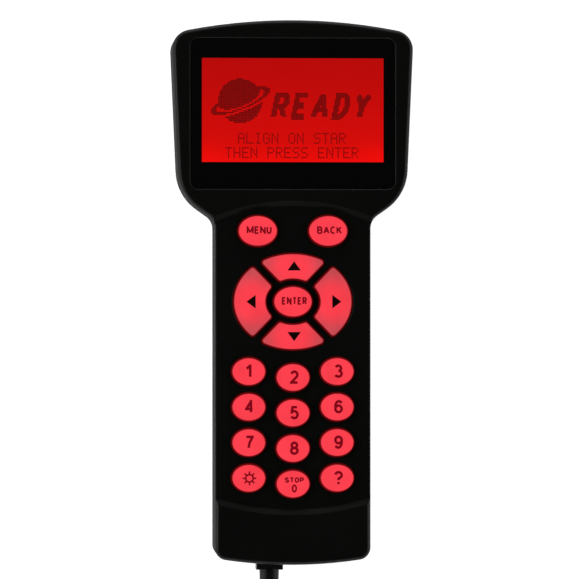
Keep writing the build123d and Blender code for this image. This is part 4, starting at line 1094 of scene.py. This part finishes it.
DOT_PITCH = (VIEW_SIZE[0] / DOT_COLUMNS, VIEW_SIZE[1] / DOT_ROWS)


def letter_dots(words, top):
    """The (column, row) of every dark dot of a line of letters, centred on the display."""
    start = (DOT_COLUMNS - (len(words) * LETTER_PITCH - 1)) // 2
    dots = set()
    for place, letter in enumerate(words):
        for row, line in enumerate(LETTERS[letter].split()):
            for column, mark in enumerate(line):
                if mark == "#":
                    dots.add((start + place * LETTER_PITCH + column, top + row))
    return dots


# %% Sheets of dots
def dot_sheet(name, dots, finish):
    """A thin plate for each dark dot, on the face of the display cell."""
    cell_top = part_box("display_cell")[1].z
    view_middle = Vector((0, VIEW_MIDDLE_Y, cell_top))
    deselect_all()
    bpy.ops.mesh.primitive_grid_add(x_subdivisions=DOT_COLUMNS, y_subdivisions=DOT_ROWS, size=1)
    piece = bpy.context.object
    piece.name = name
    piece.scale = (*VIEW_SIZE, 1)
    piece.location = view_middle
    settle(piece)
    left, top = view_middle.x - VIEW_SIZE[0] / 2, view_middle.y + VIEW_SIZE[1] / 2
    for face in piece.data.polygons:
        column = int((face.center.x - left) / DOT_PITCH[0])
        row = int((top - face.center.y) / DOT_PITCH[1])
        face.select = (column, row) not in dots
    bpy.context.tool_settings.mesh_select_mode = (False, False, True)
    bpy.ops.object.mode_set(mode="EDIT")
    bpy.ops.mesh.delete(type="FACE")
    bpy.ops.mesh.select_all(action="SELECT")
    bpy.ops.mesh.inset(thickness=DOT_GAP, use_individual=True)
    bpy.ops.mesh.select_all(action="INVERT")
    bpy.ops.mesh.delete(type="FACE")
    bpy.ops.object.mode_set(mode="OBJECT")
    modifier(piece, "SOLIDIFY", thickness=DOT_THICKNESS, offset=1.0)
    dress(piece, finish)
    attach(piece, "casing")
    print(name, "dots", len(dots), "faces", len(piece.data.polygons))
    return piece


FIRST_LINE_ROW = 46
SECOND_LINE_ROW = 55
lines = letter_dots("ALIGN ON STAR", FIRST_LINE_ROW)
lines |= letter_dots("THEN PRESS ENTER", SECOND_LINE_ROW)
dot_sheet("display_lines", lines, SMALL_DOTS)

# %% [markdown]
# The big start-up graphic is a ringed planet with a slanted word beside it. Its dots come from
# asking, for the middle of each dot, whether it lies on the planet, on the ring, or on a letter.
# The word is a flat lettering, and a ray cast down at each dot tells if it hits one.

# %% Start-up graphic
PLANET = (-18.6 * MM, 3.3 * MM)
PLANET_RADIUS = 7.9 * MM
RING_SIZE = (11.3 * MM, 3.1 * MM)
RING_TURN = math.radians(22)
RING_INNER = 0.80
CLEAR_RANGE = (0.62, 1.22)
TITLE_PLACE = (10.3 * MM, 1.6 * MM)
TITLE_HEIGHT = 9.6 * MM
TITLE_WIDTH = 34.5 * MM
TITLE_STROKE = 1.9 * MM
TITLE_GAP = 1.5 * MM
TITLE_SLANT = 0.22


def on_planet(x, y):
    """If a place on the display is on the planet or its ring, with a clear gap between."""
    dx, dy = x - PLANET[0], y - PLANET[1]
    across = dx * math.cos(RING_TURN) + dy * math.sin(RING_TURN)
    up = dy * math.cos(RING_TURN) - dx * math.sin(RING_TURN)
    ring = math.hypot(across / RING_SIZE[0], up / RING_SIZE[1])
    in_front = up < 0
    on_disc = math.hypot(dx, dy) < PLANET_RADIUS
    if in_front or not on_disc:
        if RING_INNER < ring < 1.0:
            return True
        if on_disc and CLEAR_RANGE[0] < ring < CLEAR_RANGE[1]:
            return False
    return on_disc


def title_dots():
    """Dots of the planet and the word."""
    word = lettering("title_outline", "READY", TITLE_HEIGHT, TITLE_WIDTH, TITLE_STROKE,
                     TITLE_GAP, TITLE_SLANT)
    dots = set()
    for column in range(DOT_COLUMNS):
        for row in range(DOT_ROWS):
            x = (column + 0.5) * DOT_PITCH[0] - VIEW_SIZE[0] / 2
            y = VIEW_SIZE[1] / 2 - (row + 0.5) * DOT_PITCH[1]
            above = Vector((x - TITLE_PLACE[0], y - TITLE_PLACE[1], 1.0))
            if on_planet(x, y) or word.ray_cast(above, Vector((0, 0, -1)))[0]:
                dots.add((column, row))
    bpy.data.objects.remove(word)
    return dots


dot_sheet("display_title", title_dots(), BIG_DOTS)

# %% [markdown]
# ## The lead
# The curve made at the start becomes the lead, and the ready-made lead pieces are hidden.

# %% Finish the lead
dress(lead_cord, JACKET)
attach(lead_cord, "casing")
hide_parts("lead", "lead_coil", "lead_tail")
print("lead finished:", lead_cord.name)

# %% [markdown]
# ## Floor and light
# The controller lies on a plain pale table. Black plastic shows whatever it mirrors, so the
# lamps stand to the sides, where the flat face doesn't send them to the camera, and only the
# rounded edges catch them. The table gives out a little light of its own, which keeps it even,
# and it lies a hair below the casing, so that their faces don't fight.

# %% Floor
FLOOR_SIZE = 6.0
FLOOR_DROP = 0.05 * MM
FLOOR_GLOW = 0.86

deselect_all()
bpy.ops.mesh.primitive_plane_add(size=FLOOR_SIZE, location=(0, 0, -FLOOR_DROP))
floor = bpy.context.object
floor.name = "floor"
settle(floor)
floor_material, _, floor_shader = blank_material("floor_paper")
fill(floor_shader, Base_Color=rgba(0.9, 0.9, 0.9), Roughness=0.9,
     Emission_Color=rgba(1, 1, 1), Emission_Strength=FLOOR_GLOW)
dress(floor, floor_material)
print("floor:", FLOOR_SIZE, "m")


# %% Lights
def soft_lamp(name, place, size, power):
    """A broad lamp that looks at the controller."""
    data = bpy.data.lights.new(name, "AREA")
    data.shape = "RECTANGLE"
    data.size, data.size_y = size
    data.energy = power
    lamp = bpy.data.objects.new(name, data)
    bpy.context.scene.collection.objects.link(lamp)
    lamp.location = place
    lamp.rotation_euler = Vector(place).to_track_quat("Z", "Y").to_euler()
    return lamp


soft_lamp("left_lamp", (-1.7, 0.2, 0.75), (1.6, 0.6), 16)
soft_lamp("right_lamp", (1.7, 0.1, 0.65), (1.6, 0.6), 9)
soft_lamp("head_lamp", (0.0, 1.9, 0.38), (1.6, 0.5), 9)
soft_lamp("foot_lamp", (0.0, -1.9, 0.34), (1.6, 0.5), 5)
print("lamps:", len(bpy.data.lights))

# %% [markdown]
# The room itself is pale walls under a dark ceiling. The walls light the table evenly from all
# round, and the flat face of the controller mirrors only the dark ceiling.

# %% Room
WALL_GLOW = 1.5
CEILING_GLOW = 0.04
WALL_TOP = 0.16
CEILING_START = 0.36

world = bpy.data.worlds.new("room")
bpy.context.scene.world = world
world.use_nodes = True
room = world.node_tree
direction = add(room, "ShaderNodeTexCoord").outputs["Generated"]
glow = remap(room, split(room, direction)["Z"], WALL_TOP, CEILING_START, WALL_GLOW, CEILING_GLOW)
background = fill(room.nodes["Background"], Color=rgba(1, 1, 1))
link(room, glow, background.inputs["Strength"])
bpy.context.scene.view_settings.view_transform = "Standard"
print("room glow:", WALL_GLOW, "to", CEILING_GLOW)
